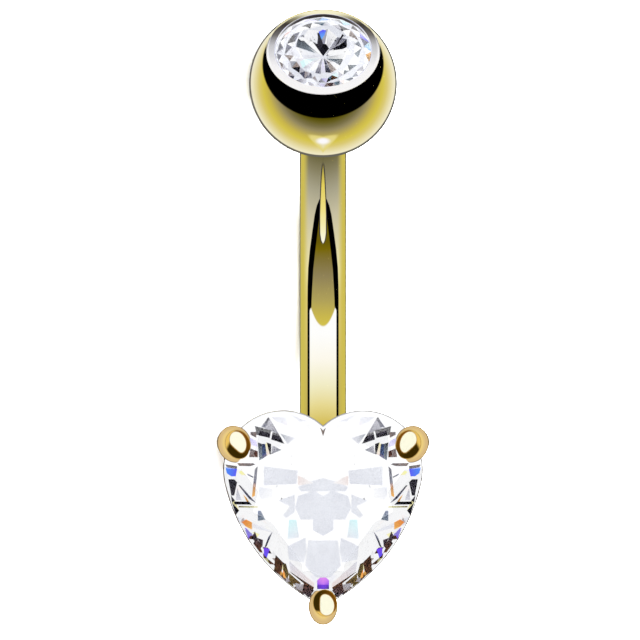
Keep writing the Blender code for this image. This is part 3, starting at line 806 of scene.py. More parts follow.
def makeShaft():
    radius = bar["diameter"] / 2
    last = -bar["turnToHeart"] - bar["solderOverlap"] / bar["bendRadius"] + radius * 0.5 / bar["bendRadius"]
    span = last - bar["turnToBall"]
    points = [bendPoint(bar["turnToBall"] + span * i / bar["points"]) for i in range(bar["points"] + 1)]
    chamfer = bar["chamfer"]
    radii = [radius] * len(points)
    first = points[0] - (points[0] - points[1]).normalized() * chamfer
    points.insert(1, first)
    radii[0] = radius - chamfer
    radii.insert(1, radius)
    tangent = (points[-1] - points[-2]).normalized()
    for i in range(1, bar["endSteps"] + 1):
        turn = bar["endTurn"] * i / bar["endSteps"]
        points.append(bendPoint(last) + tangent * radius * 0.5 * math.sin(turn))
        radii.append(radius * math.cos(turn) ** 0.6)
    return smoothShade(wire("barShaft", points, radii, False, bar["sides"], metalPieces, Matrix()))


thread = {
    "crest": 1.5 * mm,
    "depth": 0.13 * mm,
    "pitch": 0.35 * mm,
    "crestFlat": 0.05 * mm,
    "rootFlat": 0.08 * mm,
    "runout": 0.15 * mm,
    "chamfer": 0.12 * mm,
    "sunk": 0.2 * mm,  # how far the stub goes down into the bar
    "firstRise": 0.15,  # share of the ridge's height at its two ends
    "steps": 60,
}
threadPlace = placeOf(shoulder, threadAxis)
stubLength = footDrop + boreBottom


def makeThread():
    size = thread
    crest = size["crest"] / 2
    root = crest - size["depth"]
    core = [
        (0, stubLength),
        (root - size["chamfer"], stubLength),
        (root, stubLength - size["chamfer"]),
        (root, -size["sunk"]),
        (0, -size["sunk"]),
    ]
    stub = lathe("threadedStub", core, 2 * size["steps"], metalPieces, threadPlace)
    height = size["runout"] + size["pitch"] / 2
    base = (size["pitch"] - size["rootFlat"]) / 2
    loop = [
        (crest, height + size["crestFlat"] / 2),
        (crest, height - size["crestFlat"] / 2),
        (root - size["depth"] / 2, height - base),
        (root - size["depth"] / 2, height + base),
    ]
    turns = int((stubLength - size["chamfer"] - 2 * size["runout"]) / size["pitch"])
    bm = bmesh.new()
    rings = []
    count = turns * size["steps"]
    for i in range(count + 1):
        turn = i * math.tau / size["steps"]
        fade = min(1, size["firstRise"] + 3 * min(i, count - i) / size["steps"])
        ring = []
        for radius, level in loop:
            if radius == crest:
                radius = root + (crest - root) * fade
            rise = level + size["pitch"] * turn / math.tau
            ring.append(bm.verts.new((radius * math.cos(turn), radius * math.sin(turn), rise)))
        rings.append(ring)
    for a, b in zip(rings, rings[1:]):
        for k in range(4):
            bm.faces.new((a[k], a[(k + 1) % 4], b[(k + 1) % 4], b[k]))
    bm.faces.new(rings[0])
    bm.faces.new(rings[-1][::-1])
    ridge = addObject("threadRidge", meshFrom(bm, "threadRidge"), helpers, threadPlace)
    join = stub.modifiers.new("ridge", "BOOLEAN")
    join.operation = "UNION"
    join.object = ridge
    applied(stub)
    bpy.data.objects.remove(ridge)
    return smoothShade(stub, 25)


barShaft = makeShaft()
threadedStub = makeThread()

print("heart setting")


# a claw's shank, from the base rail up past the girdle, with a rounded end; collar and bead cover its top
def clawShank(name, foot, girdle, inward, middleRadius):
    size = setting
    up = Vector((0, 0, 1))
    rise = girdle.z - foot.z
    bow = foot + up * rise * size["bowUp"] - inward * rise * size["bowOut"]
    steps = size["clawSteps"]
    lower = interpolate_bezier(foot, bow, girdle - up * rise * size["bowUp"], girdle, steps)
    footRadius = size["clawFoot"] / 2
    radii = [footRadius + (middleRadius - footRadius) * i / (steps - 1) for i in range(steps)]
    points = [Vector(p) for p in lower] + [girdle + up * size["shoulderRise"]]
    radii.append(middleRadius)
    shoulder = points[-1]
    for i in range(1, size["endSteps"] + 1):
        turn = size["endTurn"] * i / size["endSteps"]
        rounding = (up * size["endUp"] + inward * size["endIn"]) * middleRadius
        points.append(shoulder + rounding * math.sin(turn))
        radii.append(middleRadius * math.cos(turn))
    return wire(name, points, radii, False, size["sides"], metalPieces, heartPlace)


# the pressed head of a claw: a flattened ball, leaning by an angle in the plane of the stone
def clawHead(name, kind, side=1):
    head = clawHeads[kind]
    x, y, z = (length * mm for length in head["at"])
    steps = setting["headSteps"]
    profile = [(math.sin(math.pi * i / steps), math.cos(math.pi * i / steps)) for i in range(steps + 1)]
    place = (
        heartPlace
        @ Matrix.Translation((side * x, y, z))
        @ Matrix.Rotation(math.radians(side * head["lean"]), 4, "Z")
        @ Matrix.Diagonal((*(length * mm for length in head["size"]), 1))
    )
    return smoothShade(settle(lathe(name, profile, 2 * steps, metalPieces, place)))


def makeSetting():
    size = setting
    upperRadius = size["upperRail"] / 2
    slope = math.atan(heartStone["pavilion"] / (heartStone["width"] / 2))
    offPavilion = upperRadius + heartStone["gap"] + size["upperInset"] * math.sin(slope)
    drop = heartStone["girdle"] / 2 + offPavilion / math.cos(slope)
    upper = wholeOutline(-size["upperInset"], 1, -drop, 44, 40)
    base = wholeOutline(0, size["baseShare"], -size["baseDrop"], 30, 24)
    rails = [
        wire("upperRail", upper, [upperRadius] * len(upper), True, 28, metalPieces, heartPlace),
        wire("baseRail", base, [size["baseRail"] / 2] * len(base), True, 28, metalPieces, heartPlace),
    ]
    shanks = []
    heads = []
    for side in (-1, 1):
        out = Vector((side * math.cos(size["sideAngle"]), math.sin(size["sideAngle"]), 0))
        edge = Vector((side * lobeX, lobeY, 0)) + out * heartStone["lobeRadius"]
        foot = size["baseShare"] * edge + Vector((0, 0, -size["baseDrop"]))
        name = "left" if side < 0 else "right"
        atGirdle = edge - out * size["sideInset"]
        shanks.append(clawShank(name + "Shank", foot, atGirdle, -out, size["sideClaw"] / 2))
        heads.append(clawHead(name + "Collar", "sideCollar", side))
        heads.append(clawHead(name + "Bead", "sideBead", side))
    edge = halfOutline(0)[-1] + Vector((0, -size["tipClaw"] / 8, 0))
    foot = size["baseShare"] * edge + Vector((0, 0, -size["baseDrop"]))
    shanks.append(clawShank("tipShank", foot, edge, Vector((0, 1, 0)), size["tipClaw"] / 2))
    heads.append(clawHead("tipCollar", "tipCollar"))
    heads.append(clawHead("tipBead", "tipBead"))
    room = addObject("stoneRoom", makeHeart("stoneRoom", heartStone["gap"] * 0.6), helpers, heartPlace)
    for piece in shanks + heads:
        notch = piece.modifiers.new("notch", "BOOLEAN")
        notch.operation = "DIFFERENCE"
        notch.object = room
        applied(piece)
        smoothShade(piece, 32)
    for piece in rails:
        smoothShade(piece, 60)
    bpy.data.objects.remove(room)
    return rails, shanks, heads


railPieces, shankPieces, headPieces = makeSetting()
settingPieces = railPieces + shankPieces + headPieces
for piece in [barShaft, threadedStub] + settingPieces:
    settle(piece)
    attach(piece, "bar")
    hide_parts("curved_bar")

print("node groups")


# an output of a node: sums with it are written like sums with numbers, and each adds a node to its tree
class Signal:
    def __init__(self, socket):
        self.socket = socket
        self.tree = socket.id_data

    def __add__(self, other):
        return calc("ADD", self, other)

    def __sub__(self, other):
        return calc("SUBTRACT", self, other)

    def __rsub__(self, other):
        return calc("SUBTRACT", other, self)

    def __mul__(self, other):
        return calc("MULTIPLY", self, other)

    def __truediv__(self, other):
        return calc("DIVIDE", self, other)

    def __abs__(self):
        return calc("ABSOLUTE", self)


def newNode(tree, kind, **settings):
    node = tree.nodes.new(kind)
    for name, value in settings.items():
        setattr(node, name, value)
    return node


def feed(node, values):
    for name, value in values.items():
        if isinstance(value, Signal):
            value.tree.links.new(value.socket, node.inputs[name])
        else:
            node.inputs[name].default_value = value
    return node


# a node with these inputs, and the one output that is wanted of it
def read(tree, kind, output, **values):
    return Signal(feed(newNode(tree, kind), values).outputs[output])


def treeOf(values):
    return next(value.tree for value in values if isinstance(value, Signal))


def calc(operation, *values):
    node = newNode(treeOf(values), "ShaderNodeMath", operation=operation)
    return Signal(feed(node, dict(enumerate(values))).outputs[0])


def vectorCalc(operation, *values, output=0):
    node = newNode(treeOf(values), "ShaderNodeVectorMath", operation=operation)
    return Signal(feed(node, dict(enumerate(values))).outputs[output])


def partsOf(vector):
    parts = feed(newNode(vector.tree, "ShaderNodeSeparateXYZ"), {"Vector": vector})
    return [Signal(socket) for socket in parts.outputs]


# 0 below low, 1 above high, and smooth between
def rampUp(value, low, high):
    node = newNode(value.tree, "ShaderNodeMapRange", interpolation_type="SMOOTHSTEP")
    return Signal(feed(node, {"Value": value, "From Min": low, "From Max": high}).outputs["Result"])


def rampDown(value, low, high):
    return 1.0 - rampUp(value, low, high)


# colours along a value; a stop is its place and the colour there, as it is read off a screen
def toneRamp(value, *stops):
    node = feed(newNode(value.tree, "ShaderNodeValToRGB"), {0: value})
    elements = node.color_ramp.elements
    while len(elements) < len(stops):
        elements.new(0.5)
    for element, (place, *tone) in zip(elements, stops):
        element.position = place
        element.color = (*screen(*tone), 1)
    return Signal(node.outputs[0])


def curveThrough(value, points):
    node = feed(newNode(value.tree, "ShaderNodeFloatCurve"), {"Value": value})
    curve = node.mapping.curves[0]
    while len(curve.points) < len(points):
        curve.points.new(0.5, 0.5)
    for spot, place in zip(curve.points, points):
        spot.location = place
        spot.handle_type = "VECTOR"
    node.mapping.update()
    return Signal(node.outputs[0])


def blendColour(share, first, second, mode="MIX"):
    node = newNode(treeOf((share, first, second)), "ShaderNodeMix", data_type="RGBA", blend_type=mode)
    ends = [i for i, socket in enumerate(node.inputs) if socket.type == "RGBA"]
    colours = [end if isinstance(end, Signal) else (*end, 1) for end in (first, second)]
    feed(node, {"Factor": share, ends[0]: colours[0], ends[1]: colours[1]})
    return Signal([socket for socket in node.outputs if socket.type == "RGBA"][0])


def newGroup(name, inputs, outputs):
    group = bpy.data.node_groups.new(name, "ShaderNodeTree")
    for label, value in inputs.items():
        group.interface.new_socket(label, in_out="INPUT", socket_type="NodeSocketFloat").default_value = value
    for label in outputs:
        group.interface.new_socket(label, in_out="OUTPUT", socket_type="NodeSocketFloat")
    given = newNode(group, "NodeGroupInput").outputs
    return group, {label: Signal(given[label]) for label in inputs}, newNode(group, "NodeGroupOutput")


# fine lines left by polishing, and a soft haze between them
def polishGroup():
    inputs = {"Scale": 900.0, "Stretch": 12.0, "Amount": 0.5, "Seed": 0.0}
    group, given, made = newGroup("polishMarks", inputs, ("Marks", "Haze"))
    place = read(group, "ShaderNodeTexCoord", "Object")
    moved = vectorCalc("ADD", place, read(group, "ShaderNodeCombineXYZ", 0, X=given["Seed"]))
    stretch = read(group, "ShaderNodeCombineXYZ", 0, X=1.0, Y=given["Stretch"], Z=1.0)
    lined = vectorCalc("MULTIPLY", moved, stretch)
    fine = read(group, "ShaderNodeTexNoise", 0, Vector=lined, Scale=given["Scale"], Detail=3.0)
    haze = read(group, "ShaderNodeTexNoise", 0, Vector=moved, Scale=given["Scale"] * 0.22, Detail=2.0)
    feed(made, {"Marks": rampUp(fine, 0.42, 0.72) * given["Amount"], "Haze": rampUp(haze, 0.35, 0.75)})
    return group


# plating rubbed off along the edges
def edgeGroup():
    inputs = {"Width": 0.05 * mm, "Breakup": 2600.0, "Amount": 0.6}
    group, given, made = newGroup("edgeWear", inputs, ("Worn",))
    rounded = feed(newNode(group, "ShaderNodeBevel", samples=4), {"Radius": given["Width"]})
    flat = read(group, "ShaderNodeNewGeometry", "Normal")
    turn = vectorCalc("DOT_PRODUCT", Signal(rounded.outputs[0]), flat, output="Value")
    place = read(group, "ShaderNodeTexCoord", "Object")
    patches = read(group, "ShaderNodeTexNoise", 0, Vector=place, Scale=given["Breakup"])
    worn = rampUp(1.0 - turn, 0.002, 0.08) * rampUp(patches, 0.35, 0.6)
    feed(made, {"Worn": worn * given["Amount"]})
    return group


# specks of dust where a face looks up
def dustGroup():
    group, given, made = newGroup("dustSpecks", {"Scale": 5200.0, "Amount": 0.3}, ("Specks",))
    place = read(group, "ShaderNodeTexCoord", "Object")
    cells = read(group, "ShaderNodeTexVoronoi", "Distance", Vector=place, Scale=given["Scale"])
    up = partsOf(read(group, "ShaderNodeNewGeometry", "Normal"))[2]
    feed(made, {"Specks": rampDown(cells, 0.04, 0.1) * rampUp(up, 0.1, 0.9) * given["Amount"]})
    return group


polishMarks = polishGroup()
edgeWear = edgeGroup()
dustSpecks = dustGroup()


def useGroup(tree, group, **values):
    node = feed(newNode(tree, "ShaderNodeGroup", node_tree=group), values)
    return {socket.name: Signal(socket) for socket in node.outputs}


print("materials")


def newMaterial(name):
    material = bpy.data.materials.new(name)
    material.use_nodes = True
    nodes = material.node_tree.nodes
    return material, material.node_tree, [node for node in nodes if node.type == "BSDF_PRINCIPLED"][0]


goldTone = {
    "plate": (0.82, 0.64, 0.22),
    "deep": (0.62, 0.42, 0.09),
    "bare": (0.86, 0.8, 0.62),
}
goldLooks = {
    "ball": {"seed": 3.0, "roughness": 0.03, "scratch": 0.4, "stretch": 1.0, "wear": 0.3},
    "rim": {"seed": 5.0, "roughness": 0.05, "scratch": 0.5, "stretch": 1.0, "wear": 0.3},
    "bar": {"seed": 7.0, "roughness": 0.02, "scratch": 0.4, "stretch": 9.0, "wear": 0.3},
    "thread": {"seed": 11.0, "roughness": 0.12, "scratch": 0.8, "stretch": 1.0, "wear": 0.9},
    "setting": {"seed": 13.0, "roughness": 0.06, "scratch": 0.6, "stretch": 1.0, "wear": 0.4},
}
glass = {
    "bend": 2.16,
    "clear": (0.99, 0.992, 1.0),
    "hazed": (0.97, 0.975, 0.99),
    "hazeRoughness": 0.004,
}


def goldMaterial(name, seed, roughness, scratch, stretch, wear):
    material, tree, shader = newMaterial(name)
    polish = useGroup(tree, polishMarks, Scale=900.0, Stretch=stretch, Amount=scratch, Seed=seed)
    worn = useGroup(tree, edgeWear, Amount=wear)["Worn"]
    dust = useGroup(tree, dustSpecks, Amount=0.04)["Specks"]
    tone = blendColour(polish["Haze"] * 0.12, goldTone["plate"], goldTone["deep"])
    bump = read(tree, "ShaderNodeBump", 0, Strength=0.04, Distance=0.004 * mm, Height=polish["Marks"])
    feed(
        shader,
        {
            "Base Color": blendColour(worn, tone, goldTone["bare"]),
            "Metallic": 1.0 - dust,
            "Roughness": polish["Haze"] * (roughness / 2) + roughness + polish["Marks"] * 0.02 + worn * 0.08,
            "Normal": bump,
        },
    )
    return material


# inner is the share of a painted reflection's tone that light takes on again when it leaves the stone
def stoneMaterial(name, seed, inner):
    material, tree, shader = newMaterial(name)
    polish = useGroup(tree, polishMarks, Scale=700.0, Stretch=5.0, Amount=1.0, Seed=seed)
    dust = useGroup(tree, dustSpecks, Scale=3800.0, Amount=0.05)["Specks"]
    # the flash colour holds the stone's painted reflections
    flash = Signal(newNode(tree, "ShaderNodeAttribute", attribute_name="flash").outputs["Color"])
    leaving = read(tree, "ShaderNodeNewGeometry", "Backfacing")
    flash = blendColour(leaving * (1.0 - inner), flash, (1.0, 1.0, 1.0))
    clean = blendColour(polish["Haze"], glass["clear"], glass["hazed"])
    feed(
        shader,
        {
            "Base Color": blendColour(1.0, flash, clean, "MULTIPLY"),
            "Transmission Weight": 1.0,
            "IOR": glass["bend"],
            "Roughness": polish["Haze"] * glass["hazeRoughness"] + dust,
        },
    )
    # polished metal near the stone shows its own light: a ray that comes off it goes straight on
    outside = 1.0 - calc("MINIMUM", read(tree, "ShaderNodeLightPath", "Transmission Depth"), 1.0)
    offMetal = read(tree, "ShaderNodeLightPath", "Is Glossy Ray") * outside
    straight = read(tree, "ShaderNodeBsdfTransparent", 0)
    seen = Signal(shader.outputs[0])
    past = feed(newNode(tree, "ShaderNodeMixShader"), {0: offMetal, 1: seen, 2: straight})
    feed([node for node in tree.nodes if node.type == "OUTPUT_MATERIAL"][0], {0: Signal(past.outputs[0])})
    return material


for pieces, material in (
    ([ballShell], goldMaterial("ballGold", **goldLooks["ball"])),
    ([bezelRim], goldMaterial("rimGold", **goldLooks["rim"])),
    ([barShaft], goldMaterial("barGold", **goldLooks["bar"])),
    ([threadedStub], goldMaterial("threadGold", **goldLooks["thread"])),
    (settingPieces, goldMaterial("settingGold", **goldLooks["setting"])),
    ([roundPiece], stoneMaterial("clearStone", seed=17.0, inner=0.15)),
    ([heartPiece], stoneMaterial("heartClear", seed=19.0, inner=0.12)),
):
    for piece in pieces:
        piece.data.materials.clear()
        piece.data.materials.append(material)
for piece in [ballShell, bezelRim, barShaft, threadedStub] + settingPieces:
    piece.visible_glossy = False  # each polished face shows its own light, not its neighbours
    piece.visible_transmission = False

print("studio")
view = {
    "distance": 400 * mm,
    "across": 21.4 * mm,
    "targetX": -0.104 * mm,
    "targetUp": 0.45 * mm,
    "sensor": 36,
    "nearest": 5 * mm,
    "farthest": 5.0,
    "roomLight": 6.0,
    "floorHalf": 2.0,
    "bounces": 48,  # light crosses a stone many times before it leaves
}
tent = {
    "radius": 230 * mm,
    "step": 6 * mm,
    "rings": 48,
    "outline": 0.977,
    "outlineTone": screen(104, 102, 94),
    "insideShare": 0.14,  # how much of a dark flag a ray inside a stone sees
}
target = bendCentre + acrossAxis * view["targetX"] + upAxis * view["targetUp"]
camera = bpy.data.objects.new("camera", bpy.data.cameras.new("camera"))
studio.objects.link(camera)
camera.data.sensor_width = view["sensor"]
camera.data.lens = view["sensor"] * view["distance"] / view["across"]
camera.data.clip_start = view["nearest"]
camera.data.clip_end = view["farthest"]
camera.matrix_world = placeOf(target + outAxis * view["distance"], outAxis)
bpy.context.scene.camera = camera
bpy.context.scene.view_settings.view_transform = "Standard"
paths = bpy.context.scene.cycles
paths.max_bounces = view["bounces"]
paths.glossy_bounces = view["bounces"]
paths.transmission_bounces = view["bounces"]
paths.transparent_max_bounces = view["bounces"] // 2

far = view["floorHalf"]
floorMesh = bpy.data.meshes.new("floor")
floorMesh.from_pydata([(-far, -far, 0), (far, -far, 0), (far, far, 0), (-far, far, 0)], [], [(0, 1, 2, 3)])
floor = addObject("floor", floorMesh, studio, Matrix.Translation((0, 0, cadBox[0].z)))
floor.visible_glossy = False
floor.visible_transmission = False
floorPaper, tree, shader = newMaterial("floorPaper")
fibre = useGroup(tree, polishMarks, Scale=300.0, Stretch=1.0, Amount=1.0, Seed=23.0)
paper = blendColour(fibre["Haze"], (0.94, 0.94, 0.94), (0.9, 0.9, 0.9))
feed(shader, {"Base Color": paper, "Roughness": 0.9, "Specular IOR Level": 0.0})
floor.data.materials.append(floorPaper)

# the room lights the floor only: polished metal and glass see their tents
world = bpy.data.worlds.new("room")
bpy.context.scene.world = world
world.use_nodes = True
tree = world.node_tree
mirrored = read(tree, "ShaderNodeLightPath", "Is Glossy Ray")
inTents = calc("MINIMUM", mirrored + read(tree, "ShaderNodeLightPath", "Is Transmission Ray"), 1.0)
strength = calc("MULTIPLY_ADD", inTents, -view["roomLight"], view["roomLight"])
feed(
    [node for node in tree.nodes if node.type == "BACKGROUND"][0],
    {"Strength": strength, "Color": (1, 1, 1, 1)},
)


# a big ball of light cloth round the piece, lit from outside, that only the pieces it is hung for can see
def hangTent(name, order, pieces, paint, seenThrough=False):
    radius = tent["radius"] + order * tent["step"]
    turns = [i * math.pi / tent["rings"] for i in range(1, tent["rings"])]
    profile = [(0, radius)] + [(radius * math.sin(t), radius * math.cos(t)) for t in turns] + [(0, -radius)]
    obj = lathe(name, profile, 2 * tent["rings"], studio, placeOf(target, outAxis))
    obj.visible_camera = False
    obj.visible_diffuse = False
    obj.visible_shadow = False
    obj.visible_volume_scatter = False
    obj.visible_transmission = seenThrough
    cloth = bpy.data.materials.new(name)
    cloth.use_nodes = True
    cloth.cycles.emission_sampling = "NONE"
    tree = cloth.node_tree
    tree.nodes.clear()
    unit = vectorCalc("NORMALIZE", read(tree, "ShaderNodeTexCoord", "Object"))
    glow = read(tree, "ShaderNodeEmission", 0, Color=paint(unit))
    straight = read(tree, "ShaderNodeBsdfTransparent", 0)
    both = feed(newNode(tree, "ShaderNodeAddShader"), {0: straight, 1: glow})
    feed(newNode(tree, "ShaderNodeOutputMaterial"), {0: Signal(both.outputs[0])})
    obj.data.materials.append(cloth)
    seers = bpy.data.collections.new(name + "Seers")
    for piece in pieces:
        seers.objects.link(piece)
    obj.light_linking.receiver_collection = seers


# where on a polished ball the front view shows this part of a tent: across, up and out
def spotOn(unit):
    return partsOf(vectorCalc("NORMALIZE", vectorCalc("ADD", unit, (0, 0, 1))))


def radiusOf(x, y, centre=(0.0, 0.0), size=(1.0, 1.0)):
    across = (x - centre[0]) / size[0]
    up = (y - centre[1]) / size[1]
    return calc("SQRT", across * across + up * up)


# the light that gives this look on the gold
def onGold(look, x, y, z):
    rim = rampUp(radiusOf(x, y), tent["outline"] - 0.006, tent["outline"] + 0.002)
    look = blendColour(rim, look, tent["outlineTone"])
    seen = blendColour(calc("POWER", 1.0 - z, 5.0), goldTone["plate"], (1.0, 1.0, 1.0))
    return vectorCalc("DIVIDE", look, seen)


# brass bands round a black crescent under the bezel, and a bright wedge near the bottom
def paintForBall(unit):
    x, y, z = spotOn(unit)
    look = toneRamp(
        radiusOf(x, y),
        *((0.5, 88, 80, 10), (0.54, 102, 94, 34), (0.6, 122, 113, 72), (0.65, 148, 137, 96)),
        *((0.705, 177, 161, 92), (0.755, 201, 182, 77), (0.81, 214, 197, 78), (0.863, 219, 202, 116)),
        *((0.916, 230, 219, 165), (0.965, 242, 235, 202)),
    )
    side = abs(x) - (y + 0.93)
    top = y - abs(x) * 0.15 + 0.742
    wedge = calc("SMOOTH_MAX", side, top, 0.13)
    look = blendColour(rampDown(wedge, -0.005, 0.03), look, screen(228, 214, 130))
    look = blendColour(rampDown(wedge, -0.12, 0.0), look, screen(238, 234, 214))
    spark = radiusOf(x, y, centre=(0.0, -0.79), size=(0.13, 0.06))
    look = blendColour(rampDown(spark, 0.3, 1.0), look, screen(252, 250, 252))
    crescent = radiusOf(x, y, centre=(0.0, 0.25), size=(0.805, 0.727))
    look = blendColour(rampDown(crescent, 0.99, 1.012), look, (0.0, 0.0, 0.0))
    lamp = radiusOf(x, y, centre=(0.0, 0.42), size=(0.62, 0.4))
    look = blendColour(rampDown(lamp, 0.7, 1.0), look, screen(246, 238, 206))
    return onGold(look, x, y, z)


# the bar's light by lean, from -1 where the bar faces up to 1 where it faces down, and by its distance
# from the bar's middle
def paintForBar(unit):
    x, y, z = spotOn(unit)
    across = abs(x)
    lean = y * -1.0 / calc("MAXIMUM", radiusOf(y, z), 0.0001)
    place = calc("MULTIPLY_ADD", lean, 0.5, 0.5)

    def tones(*stops):
        return toneRamp(place, *((at * 0.5 + 0.5, *tone) for at, *tone in stops))

    def reaches(*points):
        return curveThrough(place, [(at * 0.5 + 0.5, reach) for at, reach in points])

    centre = tones(
        *((-0.6, 198, 176, 84), (-0.375, 214, 192, 90), (-0.3, 232, 218, 146), (-0.215, 242, 237, 198)),
        *((-0.11, 253, 249, 236), (0.0, 255, 255, 254)),
    )
    body = tones(
        *((0.03, 212, 194, 78), (0.07, 202, 184, 78), (0.14, 176, 161, 90), (0.24, 144, 131, 88)),
        *((0.3, 130, 116, 60), (0.35, 120, 104, 8), (0.38, 104, 90, 8)),
    )
    flank = tones(
        *((-0.3, 186, 168, 92), (-0.1, 207, 187, 104), (0.0, 220, 199, 119), (0.14, 226, 208, 130)),
        *((0.25, 242, 233, 175), (0.365, 222, 214, 170), (0.49, 200, 193, 163), (0.59, 170, 165, 140)),
        *((0.68, 134, 128, 96), (0.74, 104, 98, 58)),
    )
    flank = blendColour(rampUp(across, 0.6, 0.88), flank, screen(207, 190, 84))
    flank = blendColour(rampUp(across, 0.935, 0.97), flank, screen(172, 164, 116))
    outer = reaches(
        *((-1, 0.675), (0.139, 0.68), (0.188, 0.675), (0.264, 0.65), (0.34, 0.58), (0.416, 0.48)),
        *((0.492, 0.37), (0.53, 0.28), (0.56, 0.16), (0.58, 0.0), (1, 0.0)),
    )
    inner = reaches(
        *((-1, 0.585), (0.1, 0.585), (0.104, 0.51), (0.139, 0.5), (0.188, 0.475), (0.264, 0.43)),
        *((0.34, 0.345), (0.416, 0.25), (0.492, 0.15), (0.56, 0.0), (1, 0.0)),
    )
    tongue = lean - across * across * 0.265
    look = blendColour(rampUp(tongue, 0.026, 0.036), centre, body)
    look = blendColour(rampUp(across - inner, -0.012, 0.012), look, (0.0, 0.0, 0.0))
    look = blendColour(rampUp(across - outer, -0.012, 0.012), look, flank)
    needle = reaches(
        *((-1, 0.0), (0.376, 0.0), (0.388, 0.075), (0.418, 0.125), (0.492, 0.13), (0.553, 0.11)),
        *((0.66, 0.055), (0.715, 0.0), (1, 0.0)),
    )
    needleTone = tones(
        *((0.39, 252, 250, 226), (0.45, 246, 238, 178), (0.52, 240, 224, 132), (0.62, 228, 208, 92)),
        (0.7, 150, 138, 70),
    )
    off = across - needle
    shown = rampUp(needle, 0.0, 0.02)
    look = blendColour(shown * rampDown(off, 0.03, 0.05), look, screen(40, 38, 52))
    look = blendColour(shown * rampDown(off, -0.015, 0.01), look, needleTone)
    return onGold(look, x, y, z)


# where on a flattened ball, seen from the front, this part of a tent shows
def onFlatBall(x, y, deep):
    stretch = calc("POWER", calc("MULTIPLY_ADD", x * x + y * y, 1.0 - deep * deep, deep * deep), -0.5)
    return x * stretch, y * stretch


def paintForCollars(unit):
    x, y, z = spotOn(unit)
    look = toneRamp(
        radiusOf(*onFlatBall(x, y, 0.33)),
        *((0.5, 228, 190, 104), (0.66, 240, 210, 128), (0.78, 226, 196, 134), (0.88, 216, 184, 128)),
        *((0.93, 222, 190, 134), (0.965, 186, 158, 110), (0.99, 128, 112, 90)),
    )
    return onGold(look, x, y, z)


# the rail shows as a thin line round the stone: grey on the lobes, dark along the flanks
def paintForRails(unit):
    x, y, z = spotOn(unit)
    look = toneRamp(y, (0.0, 66, 46, 30), (0.3, 96, 80, 64), (0.55, 168, 166, 168), (0.8, 186, 186, 190))
    return onGold(look, x, y, z)


# dark to one side, gold to the side that faces away from the stone, and the lamp between; angles in degrees
def beadPaint(outward, darkSide, tall, lamp):
    turn = math.radians(tall)
    centre = (
        lamp[0] * math.sin(turn) - lamp[1] * math.cos(turn),
        lamp[0] * math.cos(turn) + lamp[1] * math.sin(turn),
    )

    def paint(unit):
        spot = spotOn(unit)
        x, y = onFlatBall(spot[0], spot[1], 0.56)

        def along(degrees):
            return x * math.cos(math.radians(degrees)) + y * math.sin(math.radians(degrees))

        look = toneRamp(
            along(darkSide) * 0.5 + 0.5, (0.1, 122, 74, 10), (0.45, 88, 56, 6), (0.75, 56, 40, 4)
        )
        look = blendColour(rampUp(along(outward), 0.5, 0.72), look, screen(236, 196, 100))
        look = blendColour(rampUp(radiusOf(x, y), 0.92, 0.985), look, screen(206, 166, 88))
        lampShape = radiusOf(along(tall - 90), along(tall), centre, size=(0.66, 0.74))
        lampShape = calc("SMOOTH_MAX", lampShape, along(darkSide) + 0.6, 0.3)
        look = blendColour(rampDown(lampShape, 0.97, 1.1), look, screen(180, 132, 44))
        look = blendColour(rampDown(lampShape, 0.94, 1.02), look, screen(255, 253, 228))
        return onGold(look, *spot)

    return paint


# pale all round, with a dark line that fades to both sides inside the lip's upper edge
def paintForRim(unit):
    x, y, z = spotOn(unit)
    look = toneRamp(
        y * 0.5 + 0.5,
        *((0.08, 38, 32, 32), (0.2, 72, 68, 68), (0.3, 150, 149, 152), (0.38, 226, 226, 230)),
        *((0.44, 250, 248, 246), (0.78, 246, 245, 246), (0.832, 196, 196, 200), (0.856, 112, 108, 106)),
        *((0.882, 54, 48, 46), (0.897, 150, 144, 116), (0.907, 248, 242, 206)),
    )
    return onGold(look, x, y, z)


# where in its tent the front view sees this facet of a stone mirror
def mirrorOf(place, turn, slope):
    local = (math.sin(slope) * math.cos(turn), math.sin(slope) * math.sin(turn), math.cos(slope))
    ray = (place.translation - camera.matrix_world.translation).normalized()
    ray = ray.reflect(place.to_3x3() @ Vector(local))
    spot = placeOf(target, outAxis).inverted() @ (place.translation + ray * tent["radius"])
    return spot.normalized()


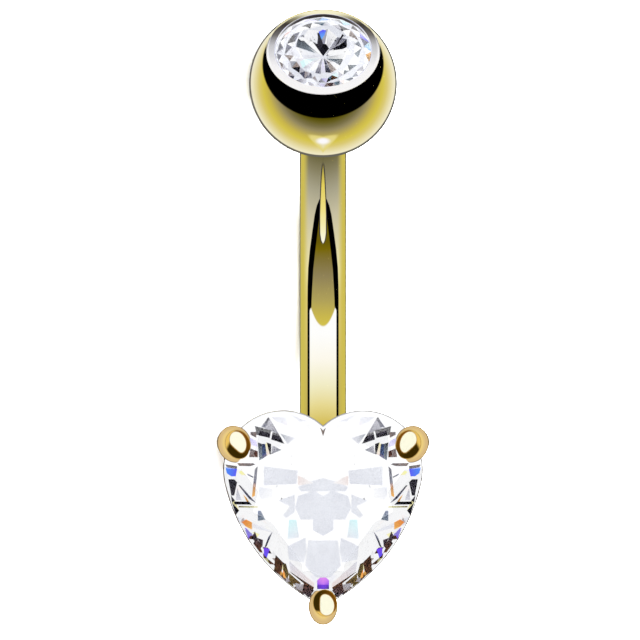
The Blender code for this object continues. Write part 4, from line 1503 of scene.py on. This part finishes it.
# an even light with dark flags, each for a facet and with a radius in degrees
def stonePaint(place, level, flags, fold=False):
    def paint(unit):
        x, y, z = partsOf(unit)
        way = read(unit.tree, "ShaderNodeCombineXYZ", 0, X=abs(x) if fold else x, Y=y, Z=z)
        dark = None
        for facet, radius in flags:
            near = vectorCalc("DOT_PRODUCT", way, mirrorOf(place, *facet), output="Value")
            edge = math.cos(math.radians(radius))
            mask = rampUp(near, edge - 0.002, edge + 0.002)
            dark = mask if dark is None else calc("MAXIMUM", dark, mask)
        inside = calc("MINIMUM", read(unit.tree, "ShaderNodeLightPath", "Transmission Depth"), 1.0)
        dark = dark * calc("MULTIPLY_ADD", inside, tent["insideShare"] - 1.0, 1.0)
        return blendColour(dark, (level, level, level), (0.02, 0.02, 0.02))

    return paint


tableFacet = (0, 0)
roundFlags = (
    (tableFacet, 13),
    (roundFacet("main", 6), 4),
    (roundFacet("half", 12), 4),
    (roundFacet("main", 5), 5),
    (roundFacet("half", 10), 4),
)
darkHeartFacets = (heartStars[3], *heartHalves[:3])
heartFlags = [((math.radians(turn), math.radians(slope)), 6) for turn, slope, inset in darkHeartFacets]
roundPaint = stonePaint(roundPlace, 1.16, roundFlags)
heartPaint = stonePaint(heartPlace, 1.1, heartFlags, fold=True)
leftPaint = beadPaint(outward=150, darkSide=235, tall=112, lamp=(0.0, 0.14))
rightPaint = beadPaint(outward=30, darkSide=305, tall=68, lamp=(0.0, 0.14))
tipPaint = beadPaint(outward=270, darkSide=178, tall=100, lamp=(0.08, -0.16))

hangTent("ballTent", 0, [ballShell], paintForBall)
hangTent("barTent", 1, [barShaft, threadedStub], paintForBar)
hangTent("collarTent", 2, shankPieces + headPieces[::2], paintForCollars)
hangTent("leftTent", 3, headPieces[1:2], leftPaint)
hangTent("rimTent", 4, [bezelRim], paintForRim)
hangTent("roundTent", 5, [roundPiece], roundPaint, seenThrough=True)
hangTent("heartTent", 6, [heartPiece], heartPaint, seenThrough=True)
hangTent("railTent", 7, railPieces, paintForRails)
hangTent("rightTent", 8, headPieces[3:4], rightPaint)
hangTent("tipTent", 9, headPieces[5:], tipPaint)

print("finished")
